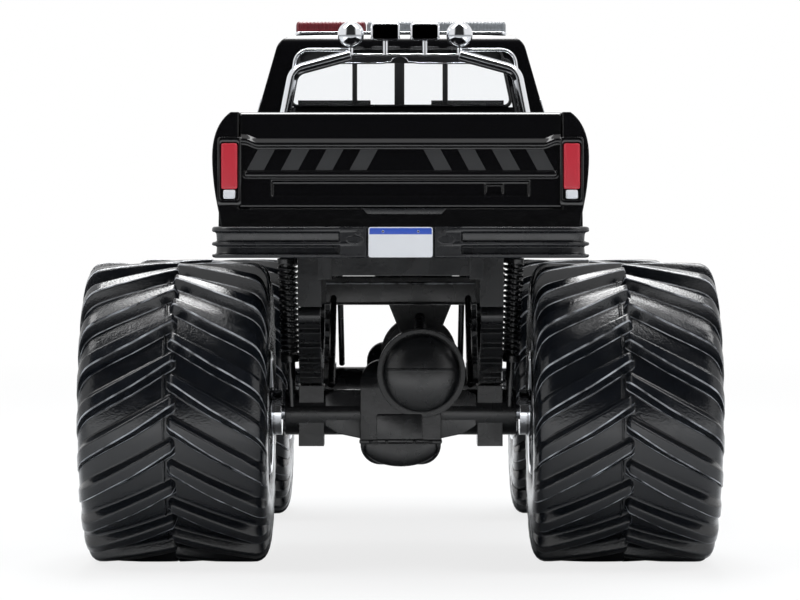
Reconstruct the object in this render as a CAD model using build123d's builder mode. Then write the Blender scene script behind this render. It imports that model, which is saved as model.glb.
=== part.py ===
from build123d import *

import os
from math import atan2, cos, degrees, hypot, radians, sin

# Toy monster truck at 1:64, in millimetres: a die-cast long-bed pickup on tall tyres.
# +X is forward, +Y is left, +Z is up. The origin is on the floor, midway along the truck.

os.makedirs("parts", exist_ok=True)

# Wheels and stance
tyre_radius = 13.1  # out to the lugs' tips
tyre_width = 16.15
wheelbase = 52.8
track = 38.75  # between the tyres' middle planes
rear_overhang = 18.6  # rear axle to the rear bumper's face
front_overhang = 10.75  # front axle to the grille
# Tyre tread: two rows of swept lugs with flat sides, seen from behind
lug_count = 21  # in each row
lug_sweep = 23.0  # from straight across, degrees
lug_foot_radius = 11.4  # the lugs' feet, inside the carcass
lug_foot_width = 2.5
lug_draft = 0.42  # how much each wall leans in, for each unit of height
lug_overrun = 0.3  # how far a lug is drawn above the ring that cuts it off
lug_seam = 0.3  # between the two rows
lug_stagger = 6.0  # from a lug of one row to the next one of the other row, degrees
carcass_radius = 12.1  # out to the corners between the flats
bead_radius = 5.0
rim_lip = 0.5  # height and thickness of the rim's two lips
rim_wall = 0.6
rim_centre_depth = 5.2  # outer lip to the face of the wheel's centre
rim_centre_thickness = 1.2
rim_hole_count = 8
rim_hole_radius = 0.65
rim_hole_circle = 3.1
hub_radius = 2.0
hub_cap_radius = 1.15
hub_cap_length = 1.6
pin_radius = 0.65
pin_in_hub = 7.6  # how far the axle pin is pressed into each hub
press_clearance = 0.02
running_clearance = 0.06
hub_gap = 0.3  # between the axle housing's end and the hub

# Body casting
body_clearance = 1.5  # tyre's top to the rocker
bumper_depth = 1.8
bumper_to_bed = 0.3
bed_length = 39.5
bed_to_cab = 0.65
cab_length = 21.2  # rear wall to the windscreen's foot
wall = 1.0
belt_height = 11.1  # rocker to belt line
greenhouse_height = 9.0  # belt line to roof
belt_half = 14.0  # half width of the cab at the belt line
roof_half = 11.5
roof_round = 1.7
roof_crown = 0.25
screen_run = 7.2  # how far the windscreen leans back
rear_lean = 0.7  # how far the rear wall leans forward
bonnet_fall = 1.3  # how much lower the bonnet is at the grille
bonnet_crown = 0.55
nose_round = 0.8
side_fade = 4.8  # how far below the belt line the wings follow the bonnet's fall
arch_radius = 7.1
arch_lip = 0.45
nose_wall = 1.2  # behind the grille
body_side = (  # below the belt line, half width
    (0.0, 14.1),
    (0.9, 14.95),
    (2.3, 15.5),
    (4.8, 15.6),
    (7.3, 15.3),
    (9.1, 14.95),
    (11.1, 14.6),
)

# Windows: half widths at the sill and at the head, sill above the belt line, head below the roof
rear_window_half = 10.6
rear_window_head_half = 9.5
rear_window_sill = 2.0
rear_window_head = 1.5
screen_half = 11.9
screen_head_half = 10.2
screen_sill = 0.9
screen_head = 1.5
side_window_sill = 1.0
side_window_head = 1.9
side_window_pillar = 2.6  # cab's rear wall or windscreen's foot to the window, at the sill
side_window_lean = 0.4
side_window_corner = 0.6  # windscreen's head to the window's front corner
glass_thickness = 0.5
glass_foot = 0.6  # lower edge of the glass above the belt line

# Load bed
bed_floor_thickness = 1.0
bed_depth = 7.8  # belt line to the load floor
bed_half_inside = 12.6
tailgate_half = 13.4
tailgate_thickness = 1.2
tailgate_drop = 8.0  # height of the tailgate
seam = 0.05  # gap round a separate panel
tub_half_length = 8.1
tub_inner = 10.2
shelf_length = 3.6  # raised step at the front of the bed that carries the roll bar
shelf_height = 0.5

# Base plate and frame
plate_above_rocker = 0.3
plate_thickness = 1.1
plate_half = 13.5
rail_half_gap = 5.8
rail_width = 1.1
rail_depth = 2.0
cross_depth = 1.7
hanger_half_gap = 6.76
hanger_width = 2.0
hanger_depth = 4.4
hanger_length = 1.3
cross_length = 1.6
cross_ahead = 4.0  # crossmember beside each axle
cross_behind_case = 6.0

# Axles and suspension
housing_half = 10.1
housing_radius = 2.0
diff_half = 3.5
diff_radius = 4.6
diff_length = 5.4
diff_corner = 1.9  # its corners, seen from behind
drum_radius = 3.85
drum_y = -1.8
drum_above_axle = 3.5
drum_length = 3.4
drum_setback = 0.6
drum_ring = 0.45  # width of the ring round the drum's face
drum_face = 0.4  # how far the face stands out of the ring
shaft_radius = 0.5
spring_half = 8.6  # half length of a leaf spring
spring_y = 7.8
spring_width = 1.9
leaf_thickness = 0.5
leaf_count = 5
leaf_step = 1.45  # how much shorter each leaf is at each end
spring_seat = 0.4  # spring pack's foot above the axle housing
spring_eye_radius = 0.7
shock_y_top = 9.95
shock_y_foot = 9.5
shock_x = 3.4  # either side of the axle
shock_radius = 0.6
rod_radius = 0.3
link_y = 6.1
link_run = 12.0
link_radius = 0.3

# Roof and bed fittings
light_bar_half = 10.3
light_bar_depth = 2.6
light_bar_base_height = 0.45
light_bar_lens_height = 1.15
light_bar_x = 9.4  # forward of the cab's rear wall
light_bar_red = 6.9  # length of the red end lens
roll_bar_behind_cab = 2.65
roll_bar_shift = -0.4  # the bar sits a little to the truck's right
roll_tube_radius = 0.54
roll_foot_y = 11.5
roll_bend_y = 10.45
roll_bend_above_belt = 5.3
roll_top_y = 5.1
roll_top_above_belt = 6.75
thin_tube_radius = 0.16
loop_foot_above_belt = 4.6
loop_y = 10.6
loop_above_belt = 7.25
round_lamp_radius = 1.25
round_lamp_length = 1.3
round_lamp_above_belt = 8.7  # to the lamp's middle
rect_lamp_width = 2.75
rect_lamp_height = 1.68
rect_lamp_length = 1.0
rect_lamp_y = 1.86
rect_lamp_above_belt = 8.95
stalk_radius = 0.25

# Bumpers, lamps and plate
bumper_height = 2.6
bumper_drop = 1.0  # its lower edge below the rocker
plate_width = 5.3
plate_height = 2.5
plate_thick = 0.3
tail_lamp_width = 1.37
tail_lamp_height = 4.6
tail_lamp_y = 14.2
tail_lamp_above_floor = 0.6
reverse_lamp_height = 0.78
grille_half = 12.9
grille_height = 5.4
grille_thickness = 0.8
grille_above_rocker = 3.2
headlamp_size = 2.3
headlamp_y = 11.1
indicator_height = 1.0
grille_columns = 9
grille_rows = 3

# Inside the cab
seat_top_above_belt = 2.7
seat_half = 9.8
seat_thickness = 2.0
seat_split = 2.9
seat_dip = 0.4
seat_behind = 3.0  # cab's rear wall to the middle of the backrest
cushion_length = 7.0
cushion_height = 3.6
cab_floor_thickness = 0.7
cab_floor_gap = 2.2  # what the floor is shorter than the cab's inside
dash_back = 4.2  # windscreen's foot to the dashboard's rear face
dash_front = 1.9
dash_depth = 3.0
wheel_radius = 3.0
wheel_tube = 0.3
wheel_y = 5.8
column_reach = 2.7
column_rise = 1.4

# Places worked out from the sizes above
overall_length = rear_overhang + wheelbase + tyre_radius
bumper_face_x = -overall_length / 2
rear_axle_x = bumper_face_x + rear_overhang
front_axle_x = rear_axle_x + wheelbase
axle_z = tyre_radius
rocker_z = 2 * tyre_radius + body_clearance
belt_z = rocker_z + belt_height
roof_z = belt_z + greenhouse_height
tailgate_x = bumper_face_x + bumper_depth + bumper_to_bed
bed_front_x = tailgate_x + bed_length
cab_rear_x = bed_front_x + bed_to_cab
roll_x = cab_rear_x - roll_bar_behind_cab
screen_foot_x = cab_rear_x + cab_length
grille_x = front_axle_x + front_overhang
bonnet_length = grille_x - screen_foot_x
screen_top_x = screen_foot_x - screen_run
plate_top_z = rocker_z + plate_above_rocker
plate_bottom_z = plate_top_z - plate_thickness
plate_rear_x = tailgate_x + tailgate_thickness + 0.2
plate_front_x = grille_x - wall - 0.2
bed_bottom_z = rocker_z
bed_floor_z = belt_z - bed_depth
tailgate_bottom_z = belt_z - tailgate_drop
bumper_half = max(half for _, half in body_side)
half_track = track / 2
tyre_inner_y = half_track - tyre_width / 2
tyre_outer_y = half_track + tyre_width / 2
axles = ((rear_axle_x, "rear", -1), (front_axle_x, "front", 1))
sides = ((1, "left"), (-1, "right"))
past = 60.0  # reach of a cut that goes right through


def mirrored(points):
    """Close a half outline, given from top to bottom, with its mirror image in Y."""
    return list(points) + [(-across, up) for across, up in reversed(points)]


def tube_between(start, end, radius):
    """A round bar from one point to another."""
    line = Vector(*end) - Vector(*start)
    with BuildPart() as bar:
        with BuildSketch(Plane(origin=start, z_dir=line)):
            Circle(radius)
        extrude(amount=line.length)
    return bar.part


def greenhouse(inset):
    """The cab above the belt line, drawn in by inset on every face."""
    skirt_drop = 3.0
    skirt_z = belt_z - skirt_drop
    lean = (belt_half - roof_half) / greenhouse_height
    skirt_half = belt_half + lean * skirt_drop - inset
    top_z = roof_z - inset
    edge_half = roof_half - inset
    round_radius = max(roof_round - inset, 0.3)
    with BuildPart() as shape:
        with BuildSketch(Plane.YZ) as across:
            with BuildLine():
                crown = ThreePointArc(
                    (edge_half, top_z - roof_crown), (0, top_z), (-edge_half, top_z - roof_crown)
                )
                Polyline(crown @ 1, (-skirt_half, skirt_z), (skirt_half, skirt_z), crown @ 0)
            make_face()
            fillet(across.vertices().group_by(Axis.Y)[-1], round_radius)
        extrude(amount=past, both=True)
        rear_slope = rear_lean / greenhouse_height
        screen_slope = screen_run / greenhouse_height
        rear_inset = inset * hypot(1, rear_slope)
        screen_inset = inset * hypot(1, screen_slope)
        with BuildSketch(Plane.XZ) as along:
            with BuildLine():
                Polyline(
                    (cab_rear_x - rear_slope * skirt_drop + rear_inset, skirt_z),
                    (cab_rear_x + rear_slope * (top_z - belt_z) + rear_inset, top_z),
                    (screen_foot_x - screen_slope * (top_z - belt_z) - screen_inset, top_z),
                    (screen_foot_x + screen_slope * skirt_drop - screen_inset, skirt_z),
                    close=True,
                )
            make_face()
            fillet(along.vertices().group_by(Axis.Y)[-1], round_radius)
        extrude(amount=past, both=True, mode=Mode.INTERSECT)
    return shape.part


def body_outline(bottom_z, inset=0.0):
    """Half outline of the body side, from the belt line down, drawn in by inset."""
    rows = [(half - inset, belt_z - drop) for drop, half in body_side if belt_z - drop > bottom_z]
    last_half, last_z = rows[-1]
    return rows + [(last_half, bottom_z)]


def body_section(rows, crown=0.0):
    """Draw a closed section: curved sides through the rows, a top that may be crowned, a flat foot."""
    left = Spline(*rows)
    right = Spline(*[(-across, up) for across, up in rows])
    top_half, top_z = rows[0]
    if crown:
        ThreePointArc((top_half, top_z), (0, top_z + crown), (-top_half, top_z))
    else:
        Line(left @ 0, right @ 0)
    Line(left @ 1, right @ 1)


def arch_rings(axle_x):
    """A flat lip round each wheel arch, from the belt's width out to the body's widest."""
    with BuildPart() as lips:
        with BuildSketch(Plane.XZ.offset(-bumper_half)):
            with Locations((axle_x, rocker_z)):
                Circle(arch_radius + arch_lip)
                Circle(arch_radius, mode=Mode.SUBTRACT)
            with Locations((axle_x, rocker_z - arch_radius)):
                Rectangle(4 * arch_radius, 2 * arch_radius, mode=Mode.SUBTRACT)
        extrude(amount=2 * bumper_half)
        with BuildSketch(Plane.XZ.offset(-belt_half)):
            with Locations((axle_x, rocker_z)):
                Circle(2 * arch_radius)
        extrude(amount=2 * belt_half, mode=Mode.SUBTRACT)
    return lips.part


# Cab, bonnet and wings: one hollow casting
cab_outer = greenhouse(0.0)
cab_inner = greenhouse(wall)
bonnet_stations = (  # distance along the truck, fall below the belt line
    (screen_foot_x, 0.0),
    (grille_x - nose_round, bonnet_fall),
    (grille_x, bonnet_fall + nose_round),
)

with BuildPart() as cab_body:
    # the lower body from the cab's rear wall to the windscreen's foot
    with BuildSketch(Plane.YZ.offset(cab_rear_x)):
        with BuildLine():
            body_section(body_outline(rocker_z))
        make_face()
    extrude(amount=cab_length)
    # wings and bonnet, lower and crowned towards the grille
    for station_x, fall in bonnet_stations:
        rows = []
        for half, up in body_outline(rocker_z):
            share = max(0.0, 1 - (belt_z - up) / side_fade)
            rows.append((half, up - fall * share))
        with BuildSketch(Plane.YZ.offset(station_x)):
            with BuildLine():
                body_section(rows, bonnet_crown)
            make_face()
    loft(ruled=True)
    add(cab_outer)
    # hollow from below
    with BuildSketch(Plane.YZ.offset(cab_rear_x + wall)):
        with BuildLine():
            Polyline(*mirrored(body_outline(rocker_z - 1.0, wall)), close=True)
        make_face()
    extrude(amount=cab_length - 2 * wall, mode=Mode.SUBTRACT)
    add(cab_inner, mode=Mode.SUBTRACT)
    with BuildSketch(Plane.XY.offset(rocker_z - 1.0)):
        with Locations(((screen_foot_x - wall + grille_x - nose_wall) / 2, 0)):
            Rectangle(bonnet_length + wall - nose_wall, 2 * (body_side[0][1] - wall))
    extrude(amount=belt_height - bonnet_fall - wall + 1.0, mode=Mode.SUBTRACT)
    # wheel arches
    with BuildSketch(Plane.XZ):
        with Locations((front_axle_x, rocker_z)):
            Circle(arch_radius)
    extrude(amount=past, both=True, mode=Mode.SUBTRACT)
    add(arch_rings(front_axle_x))
    # side windows
    with BuildSketch(Plane.XZ):
        with BuildLine():
            Polyline(
                (cab_rear_x + side_window_pillar, belt_z + side_window_sill),
                (cab_rear_x + side_window_pillar + side_window_lean, roof_z - side_window_head),
                (screen_top_x - side_window_corner, roof_z - side_window_head),
                (screen_foot_x - side_window_pillar, belt_z + side_window_sill),
                close=True,
            )
        make_face()
    extrude(amount=past, both=True, mode=Mode.SUBTRACT)
    # rear window
    with BuildSketch(Plane.YZ.offset(cab_rear_x - 1.0)):
        with BuildLine():
            Polyline(
                (-rear_window_half, belt_z + rear_window_sill),
                (rear_window_half, belt_z + rear_window_sill),
                (rear_window_head_half, roof_z - rear_window_head),
                (-rear_window_head_half, roof_z - rear_window_head),
                close=True,
            )
        make_face()
    extrude(amount=wall + 2.5, mode=Mode.SUBTRACT)
    # windscreen
    with BuildSketch(Plane.YZ.offset(screen_top_x - 1.0)):
        with BuildLine():
            Polyline(
                (-screen_half, belt_z + screen_sill),
                (screen_half, belt_z + screen_sill),
                (screen_head_half, roof_z - screen_head),
                (-screen_head_half, roof_z - screen_head),
                close=True,
            )
        make_face()
    extrude(amount=screen_run + 3.0, mode=Mode.SUBTRACT)
    # seat of the base plate
    with BuildSketch(Plane.XY.offset(plate_top_z + seam)):
        with Locations((cab_rear_x + (grille_x - wall - seam - cab_rear_x) / 2, 0)):
            Rectangle(grille_x - wall - seam - cab_rear_x, 2 * (plate_half + seam))
    extrude(amount=-past, mode=Mode.SUBTRACT)
    # pocket for the grille
    with BuildSketch(Plane.YZ.offset(grille_x)):
        with Locations((0, rocker_z + grille_above_rocker + grille_height / 2)):
            Rectangle(2 * (grille_half + seam), grille_height + 2 * seam)
    extrude(amount=-grille_thickness, mode=Mode.SUBTRACT)

# Window glass: one clear moulding pressed up inside the cab
glass_outer = greenhouse(wall + seam)
glass_inner = greenhouse(wall + seam + glass_thickness)

with BuildPart() as glazing:
    add(glass_outer)
    add(glass_inner, mode=Mode.SUBTRACT)
    with BuildSketch(Plane.XY.offset(belt_z + glass_foot)):
        Rectangle(4 * past, 4 * past)
    extrude(amount=-past, mode=Mode.SUBTRACT)

# Cab floor and bench seat
floor_z = plate_top_z + seam
floor_length = cab_length - wall - cab_floor_gap
floor_x = cab_rear_x + wall + seam + floor_length / 2
seat_x = cab_rear_x + seat_behind
inside_half = body_side[-1][1] - wall - 0.3

with BuildPart() as interior:
    with BuildSketch(Plane.XY.offset(floor_z)):
        with Locations((floor_x, 0)):
            Rectangle(floor_length, 2 * inside_half)
    extrude(amount=cab_floor_thickness)
    with BuildSketch(Plane.XY.offset(floor_z + cab_floor_thickness)):
        with Locations((seat_x + cushion_length / 2, 0)):
            Rectangle(cushion_length, 2 * seat_half)
    extrude(amount=cushion_height)
    with BuildSketch(Plane.YZ.offset(seat_x - seat_thickness / 2)):
        top_z = belt_z + seat_top_above_belt
        with BuildLine():
            Polyline(
                (-seat_half, floor_z),
                (seat_half, floor_z),
                (seat_half, top_z),
                (seat_split, top_z),
                (seat_split, top_z - seat_dip),
                (-seat_split, top_z - seat_dip),
                (-seat_split, top_z),
                (-seat_half, top_z),
                close=True,
            )
        make_face()
    extrude(amount=seat_thickness)

with BuildPart() as dashboard:
    dash_rear_x = screen_foot_x - dash_back
    with BuildSketch(Plane.XZ):
        with BuildLine():
            Polyline(
                (dash_rear_x, belt_z - dash_depth),
                (dash_rear_x + 0.4, belt_z + 0.1),
                (dash_rear_x + 1.4, belt_z + 0.5),
                (screen_foot_x - dash_front, belt_z + 0.3),
                (screen_foot_x - dash_front, belt_z - dash_depth),
                close=True,
            )
        make_face()
    extrude(amount=belt_half - wall - 0.6, both=True)

column_foot = (dash_rear_x + 0.1, wheel_y, belt_z - column_rise + 0.2)
column_top = (column_foot[0] - column_reach, wheel_y, column_foot[2] + column_rise)
steering_column = tube_between(column_foot, column_top, wheel_tube)

with BuildPart() as steering_wheel:
    add(steering_column)
    rim_plane = Plane(origin=column_top, z_dir=Vector(*column_top) - Vector(*column_foot))
    with BuildSketch(rim_plane):
        Circle(wheel_radius)
        Circle(wheel_radius - 2 * wheel_tube, mode=Mode.SUBTRACT)
        Rectangle(2 * wheel_radius - wheel_tube, 2 * wheel_tube)
    extrude(amount=wheel_tube)

# Load bed: sides, floor, front wall and the sill below the tailgate
with BuildPart() as bed_body:
    with BuildSketch(Plane.YZ.offset(tailgate_x)):
        with BuildLine():
            body_section(body_outline(bed_bottom_z))
        make_face()
    extrude(amount=bed_length)
    # load space, open at the top
    with BuildSketch(Plane.XY.offset(bed_floor_z)):
        inside_length = bed_length - tailgate_thickness - seam - wall
        with Locations((tailgate_x + tailgate_thickness + seam + inside_length / 2, 0)):
            Rectangle(inside_length, 2 * bed_half_inside)
    extrude(amount=past, mode=Mode.SUBTRACT)
    # raised step at the front, with a hole for each foot of the roll bar
    with BuildSketch(Plane.XY.offset(bed_floor_z)):
        with Locations((bed_front_x - wall - shelf_length / 2, 0)):
            Rectangle(shelf_length, 2 * bed_half_inside)
    extrude(amount=shelf_height)
    with BuildSketch(Plane.XY.offset(bed_floor_z + shelf_height)):
        for foot_y in (roll_bar_shift + roll_foot_y, roll_bar_shift - roll_foot_y):
            with Locations((roll_x, foot_y)):
                Circle(roll_tube_radius + press_clearance)
    extrude(amount=-shelf_height - bed_floor_thickness, mode=Mode.SUBTRACT)
    # seat of the tailgate
    with BuildSketch(Plane.XY.offset(tailgate_bottom_z - seam)):
        with Locations((tailgate_x + (tailgate_thickness + seam) / 2, 0)):
            Rectangle(tailgate_thickness + seam, 2 * (tailgate_half + seam))
    extrude(amount=past, mode=Mode.SUBTRACT)
    # hollow below the floor
    with BuildSketch(Plane.XY.offset(bed_bottom_z)):
        with Locations((tailgate_x + bed_length / 2, 0)):
            Rectangle(bed_length - 2 * wall, 2 * (body_side[-1][1] - wall))
    extrude(amount=bed_floor_z - bed_floor_thickness - bed_bottom_z, mode=Mode.SUBTRACT)
    # seat of the base plate
    with BuildSketch(Plane.XY.offset(plate_top_z + seam)):
        with Locations(((plate_rear_x - seam + bed_front_x) / 2, 0)):
            Rectangle(bed_front_x - plate_rear_x + seam, 2 * (plate_half + seam))
    extrude(amount=-past, mode=Mode.SUBTRACT)
    # wheel tubs and arches
    for side, _ in sides:
        with BuildSketch(Plane.XY.offset(bed_floor_z - bed_floor_thickness)):
            with Locations((rear_axle_x, side * (tub_inner + bed_half_inside + 0.4) / 2)):
                Rectangle(2 * tub_half_length, bed_half_inside + 0.4 - tub_inner)
        extrude(amount=rocker_z + arch_radius + wall - (bed_floor_z - bed_floor_thickness))
        arch_plane = Plane(
            origin=(rear_axle_x, side * (tub_inner + wall), rocker_z), z_dir=(0, side, 0)
        )
        with BuildSketch(arch_plane):
            Circle(arch_radius)
        extrude(amount=past, mode=Mode.SUBTRACT)
    add(arch_rings(rear_axle_x))

# Tailgate with its raised rail, recessed panel and handle pocket
panel_width = 21.4
panel_height = 1.4
panel_recess = 0.3
handle_width = 1.6
handle_height = 0.9
rail_proud = 0.25
lower_rail_above = 3.35  # above the tailgate's lower edge
upper_rail_above = 6.0

with BuildPart() as tailgate:
    with BuildSketch(Plane.YZ.offset(tailgate_x)):
        with Locations((0, tailgate_bottom_z + tailgate_drop / 2)):
            Rectangle(2 * tailgate_half, tailgate_drop)
    extrude(amount=tailgate_thickness)
    with BuildSketch(Plane.YZ.offset(tailgate_x)):
        with Locations((0, tailgate_bottom_z + 2.2)):
            RectangleRounded(panel_width, panel_height, 0.25)
    extrude(amount=panel_recess, mode=Mode.SUBTRACT)
    with BuildSketch(Plane.YZ.offset(tailgate_x)):
        with Locations((0, tailgate_bottom_z + lower_rail_above), (0, tailgate_bottom_z + upper_rail_above)):
            SlotOverall(2 * tailgate_half - 1.0, 0.5)
    extrude(amount=-rail_proud)

# Lamps in the bed's rear corners
with BuildPart() as tail_lamps:
    for side, _ in sides:
        lamp_z = bed_floor_z + tail_lamp_above_floor + tail_lamp_height / 2
        with BuildSketch(Plane.YZ.offset(tailgate_x - seam)):
            with Locations((side * tail_lamp_y, lamp_z)):
                RectangleRounded(tail_lamp_width, tail_lamp_height, 0.2)
            with Locations((side * tail_lamp_y, bed_floor_z + tail_lamp_above_floor + 0.5)):
                Rectangle(tail_lamp_width - 0.3, reverse_lamp_height, mode=Mode.SUBTRACT)
        extrude(amount=-0.3)

with BuildPart() as reverse_lamps:
    for side, _ in sides:
        with BuildSketch(Plane.YZ.offset(tailgate_x - seam)):
            with Locations((side * tail_lamp_y, bed_floor_z + tail_lamp_above_floor + 0.5)):
                Rectangle(tail_lamp_width - 0.4, reverse_lamp_height - 0.1)
        extrude(amount=-0.35)

# Bumpers
bumper_bottom_z = rocker_z - bumper_drop
bumper_top_z = bumper_bottom_z + bumper_height
bumper_wrap = 2.6
bumper_wall = 0.45
recess_half = 2.75
groove_from_recess = 1.05  # plain pad beside the recess
groove_from_end = 2.2
groove_height = 0.75
groove_depth = 0.35
grooves_above = (0.55, 1.5)  # height of each groove's lower edge
plate_x = bumper_face_x + groove_depth


def bumper_bar(face_x, heading):
    """A ribbed bumper that wraps back round the body's corners; heading is +1 at the front."""
    with BuildPart() as bar:
        with BuildSketch(Plane.XY.offset(bumper_bottom_z)):
            with BuildLine():
                Polyline(
                    (face_x, -bumper_half + 0.9),
                    (face_x, bumper_half - 0.9),
                    (face_x - heading * 0.9, bumper_half),
                    (face_x - heading * bumper_wrap, bumper_half),
                    (face_x - heading * bumper_wrap, bumper_half - bumper_wall),
                    (face_x - heading * bumper_depth, bumper_half - bumper_wall),
                    (face_x - heading * bumper_depth, bumper_wall - bumper_half),
                    (face_x - heading * bumper_wrap, bumper_wall - bumper_half),
                    (face_x - heading * bumper_wrap, -bumper_half),
                    (face_x - heading * 0.9, -bumper_half),
                    close=True,
                )
            make_face()
        extrude(amount=bumper_height)
        groove_inner = recess_half + groove_from_recess
        groove_outer = bumper_half - groove_from_end
        groove_y = (groove_inner + groove_outer) / 2
        for side, _ in sides:
            for above in grooves_above:
                with BuildSketch(Plane.YZ.offset(face_x)):
                    with Locations((side * groove_y, bumper_bottom_z + above + groove_height / 2)):
                        Rectangle(groove_outer - groove_inner, groove_height)
                extrude(amount=-heading * groove_depth, mode=Mode.SUBTRACT)
        with BuildSketch(Plane.YZ.offset(face_x)):
            with Locations((0, bumper_bottom_z + bumper_height / 2)):
                Rectangle(2 * recess_half, bumper_height)
        extrude(amount=-heading * groove_depth, mode=Mode.SUBTRACT)
    return bar.part


front_bumper_x = grille_x + bumper_depth + 0.25

with BuildPart() as rear_bumper:
    add(bumper_bar(bumper_face_x, -1))

with BuildPart() as front_bumper:
    add(bumper_bar(front_bumper_x, 1))

with BuildPart() as number_plate:
    with BuildSketch(Plane.YZ.offset(plate_x)):
        with Locations((0, bumper_bottom_z + bumper_height / 2)):
            RectangleRounded(plate_width, plate_height, 0.25)
        with GridLocations(2.9, 0, 2, 1):
            with Locations((0, bumper_bottom_z + bumper_height / 2 + 0.95)):
                Circle(0.13, mode=Mode.SUBTRACT)
    extrude(amount=-plate_thick)

# Grille with square lamps at its ends
grille_mid_z = rocker_z + grille_above_rocker + grille_height / 2
grille_bars_half = headlamp_y - headlamp_size / 2 - 0.5
bar = 0.3
cell_width = (2 * grille_bars_half - bar) / grille_columns
cell_height = (grille_height - 0.7) / grille_rows

with BuildPart() as grille:
    with BuildSketch(Plane.YZ.offset(grille_x - grille_thickness)):
        with Locations((0, grille_mid_z)):
            Rectangle(2 * grille_half, grille_height)
        with Locations((0, grille_mid_z)):
            with GridLocations(cell_width, cell_height, grille_columns, grille_rows):
                Rectangle(cell_width - bar, cell_height - bar, mode=Mode.SUBTRACT)
        for side, _ in sides:
            with Locations((side * headlamp_y, grille_mid_z + 0.7)):
                Rectangle(headlamp_size + 2 * seam, headlamp_size + 2 * seam, mode=Mode.SUBTRACT)
            with Locations((side * headlamp_y, grille_mid_z - 1.6)):
                Rectangle(headlamp_size + 2 * seam, indicator_height + 2 * seam, mode=Mode.SUBTRACT)
    extrude(amount=grille_thickness + 0.25)

with BuildPart() as headlamps:
    for side, _ in sides:
        with BuildSketch(Plane.YZ.offset(grille_x - grille_thickness + seam)):
            with Locations((side * headlamp_y, grille_mid_z + 0.7)):
                RectangleRounded(headlamp_size, headlamp_size, 0.3)
        extrude(amount=grille_thickness + 0.1)

with BuildPart() as indicators:
    for side, _ in sides:
        with BuildSketch(Plane.YZ.offset(grille_x - grille_thickness + seam)):
            with Locations((side * headlamp_y, grille_mid_z - 1.6)):
                Rectangle(headlamp_size, indicator_height)
        extrude(amount=grille_thickness + 0.1)

# Roof light bar
bar_x = cab_rear_x + light_bar_x
light_bar_z = roof_z + seam
light_bar_split = light_bar_half - light_bar_red

with BuildPart() as light_bar_base:
    with BuildSketch(Plane.XY.offset(light_bar_z)):
        with Locations((bar_x, 0)):
            RectangleRounded(light_bar_depth, 2 * light_bar_half, 0.4)
    extrude(amount=light_bar_base_height)

lenses = ((light_bar_split, light_bar_half - 0.1), (0.1 - light_bar_half, light_bar_split - 0.1))
light_bar_lenses = []
for low_y, high_y in lenses:
    with BuildPart() as lens:
        with BuildSketch(Plane.XY.offset(light_bar_z + light_bar_base_height)):
            with Locations((bar_x, (low_y + high_y) / 2)):
                RectangleRounded(light_bar_depth - 0.2, high_y - low_y, 0.35)
        extrude(amount=light_bar_lens_height)
        fillet(lens.edges().group_by(Axis.Z)[-1], 0.3)
    light_bar_lenses.append(lens)

# Roll bar behind the cab: thick legs, a thin bar and two thin loops above, and four lamps
roll_top_z = belt_z + roll_top_above_belt
roll_bend_z = belt_z + roll_bend_above_belt
loop_z = belt_z + loop_above_belt
round_lamp_z = belt_z + round_lamp_above_belt
rect_lamp_z = belt_z + rect_lamp_above_belt
stalks = (  # distance from the middle, height of the lamp's underside
    (roll_top_y, round_lamp_z - round_lamp_radius),
    (rect_lamp_y, rect_lamp_z - rect_lamp_height / 2),
)


def roll_point(across, up):
    """A point of the roll bar, given across from its middle and up from the floor."""
    return (roll_x, roll_bar_shift + across, up)


with BuildPart() as roll_bar:
    for side, _ in sides:
        with BuildLine():
            leg = FilletPolyline(
                roll_point(side * roll_foot_y, bed_floor_z - bed_floor_thickness),
                roll_point(side * roll_foot_y, belt_z),
                roll_point(side * roll_bend_y, roll_bend_z),
                roll_point(side * roll_top_y, roll_top_z),
                radius=1.4,
            )
        with BuildSketch(Plane(origin=leg @ 0, z_dir=leg % 0)):
            Circle(roll_tube_radius)
        sweep()
        with BuildLine():
            loop = FilletPolyline(
                roll_point(side * loop_y, belt_z + loop_foot_above_belt),
                roll_point(side * (loop_y - 0.4), loop_z),
                roll_point(side * roll_top_y, loop_z),
                radius=1.3,
            )
        with BuildSketch(Plane(origin=loop @ 0, z_dir=loop % 0)):
            Circle(thin_tube_radius)
        sweep()
        for across, lamp_foot_z in stalks:
            with BuildSketch(Plane.XY.offset(roll_top_z)):
                with Locations((roll_x, roll_bar_shift + side * across)):
                    Circle(stalk_radius)
            extrude(amount=lamp_foot_z - roll_top_z)
    with BuildSketch(Plane.XZ.offset(-roll_bar_shift - roll_top_y)):
        with Locations((roll_x, roll_top_z)):
            Circle(thin_tube_radius)
    extrude(amount=2 * roll_top_y)

with BuildPart() as round_lamps:
    for side, _ in sides:
        with BuildSketch(Plane.YZ.offset(roll_x - round_lamp_length / 2)):
            with Locations((roll_bar_shift + side * roll_top_y, round_lamp_z)):
                Circle(round_lamp_radius)
        extrude(amount=round_lamp_length)

with BuildPart() as rect_lamps:
    for side, _ in sides:
        with BuildSketch(Plane.YZ.offset(roll_x - rect_lamp_length / 2)):
            with Locations((roll_bar_shift + side * rect_lamp_y, rect_lamp_z)):
                RectangleRounded(rect_lamp_width, rect_lamp_height, 0.2)
        extrude(amount=rect_lamp_length)

# Base plate with moulded frame rails, crossmembers and spring hangers
case_x = cab_rear_x
cross_places = (
    plate_rear_x + 1.4,
    rear_axle_x + cross_ahead,
    case_x - cross_behind_case,
    front_axle_x - cross_ahead,
    plate_front_x - 1.2,
)

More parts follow.
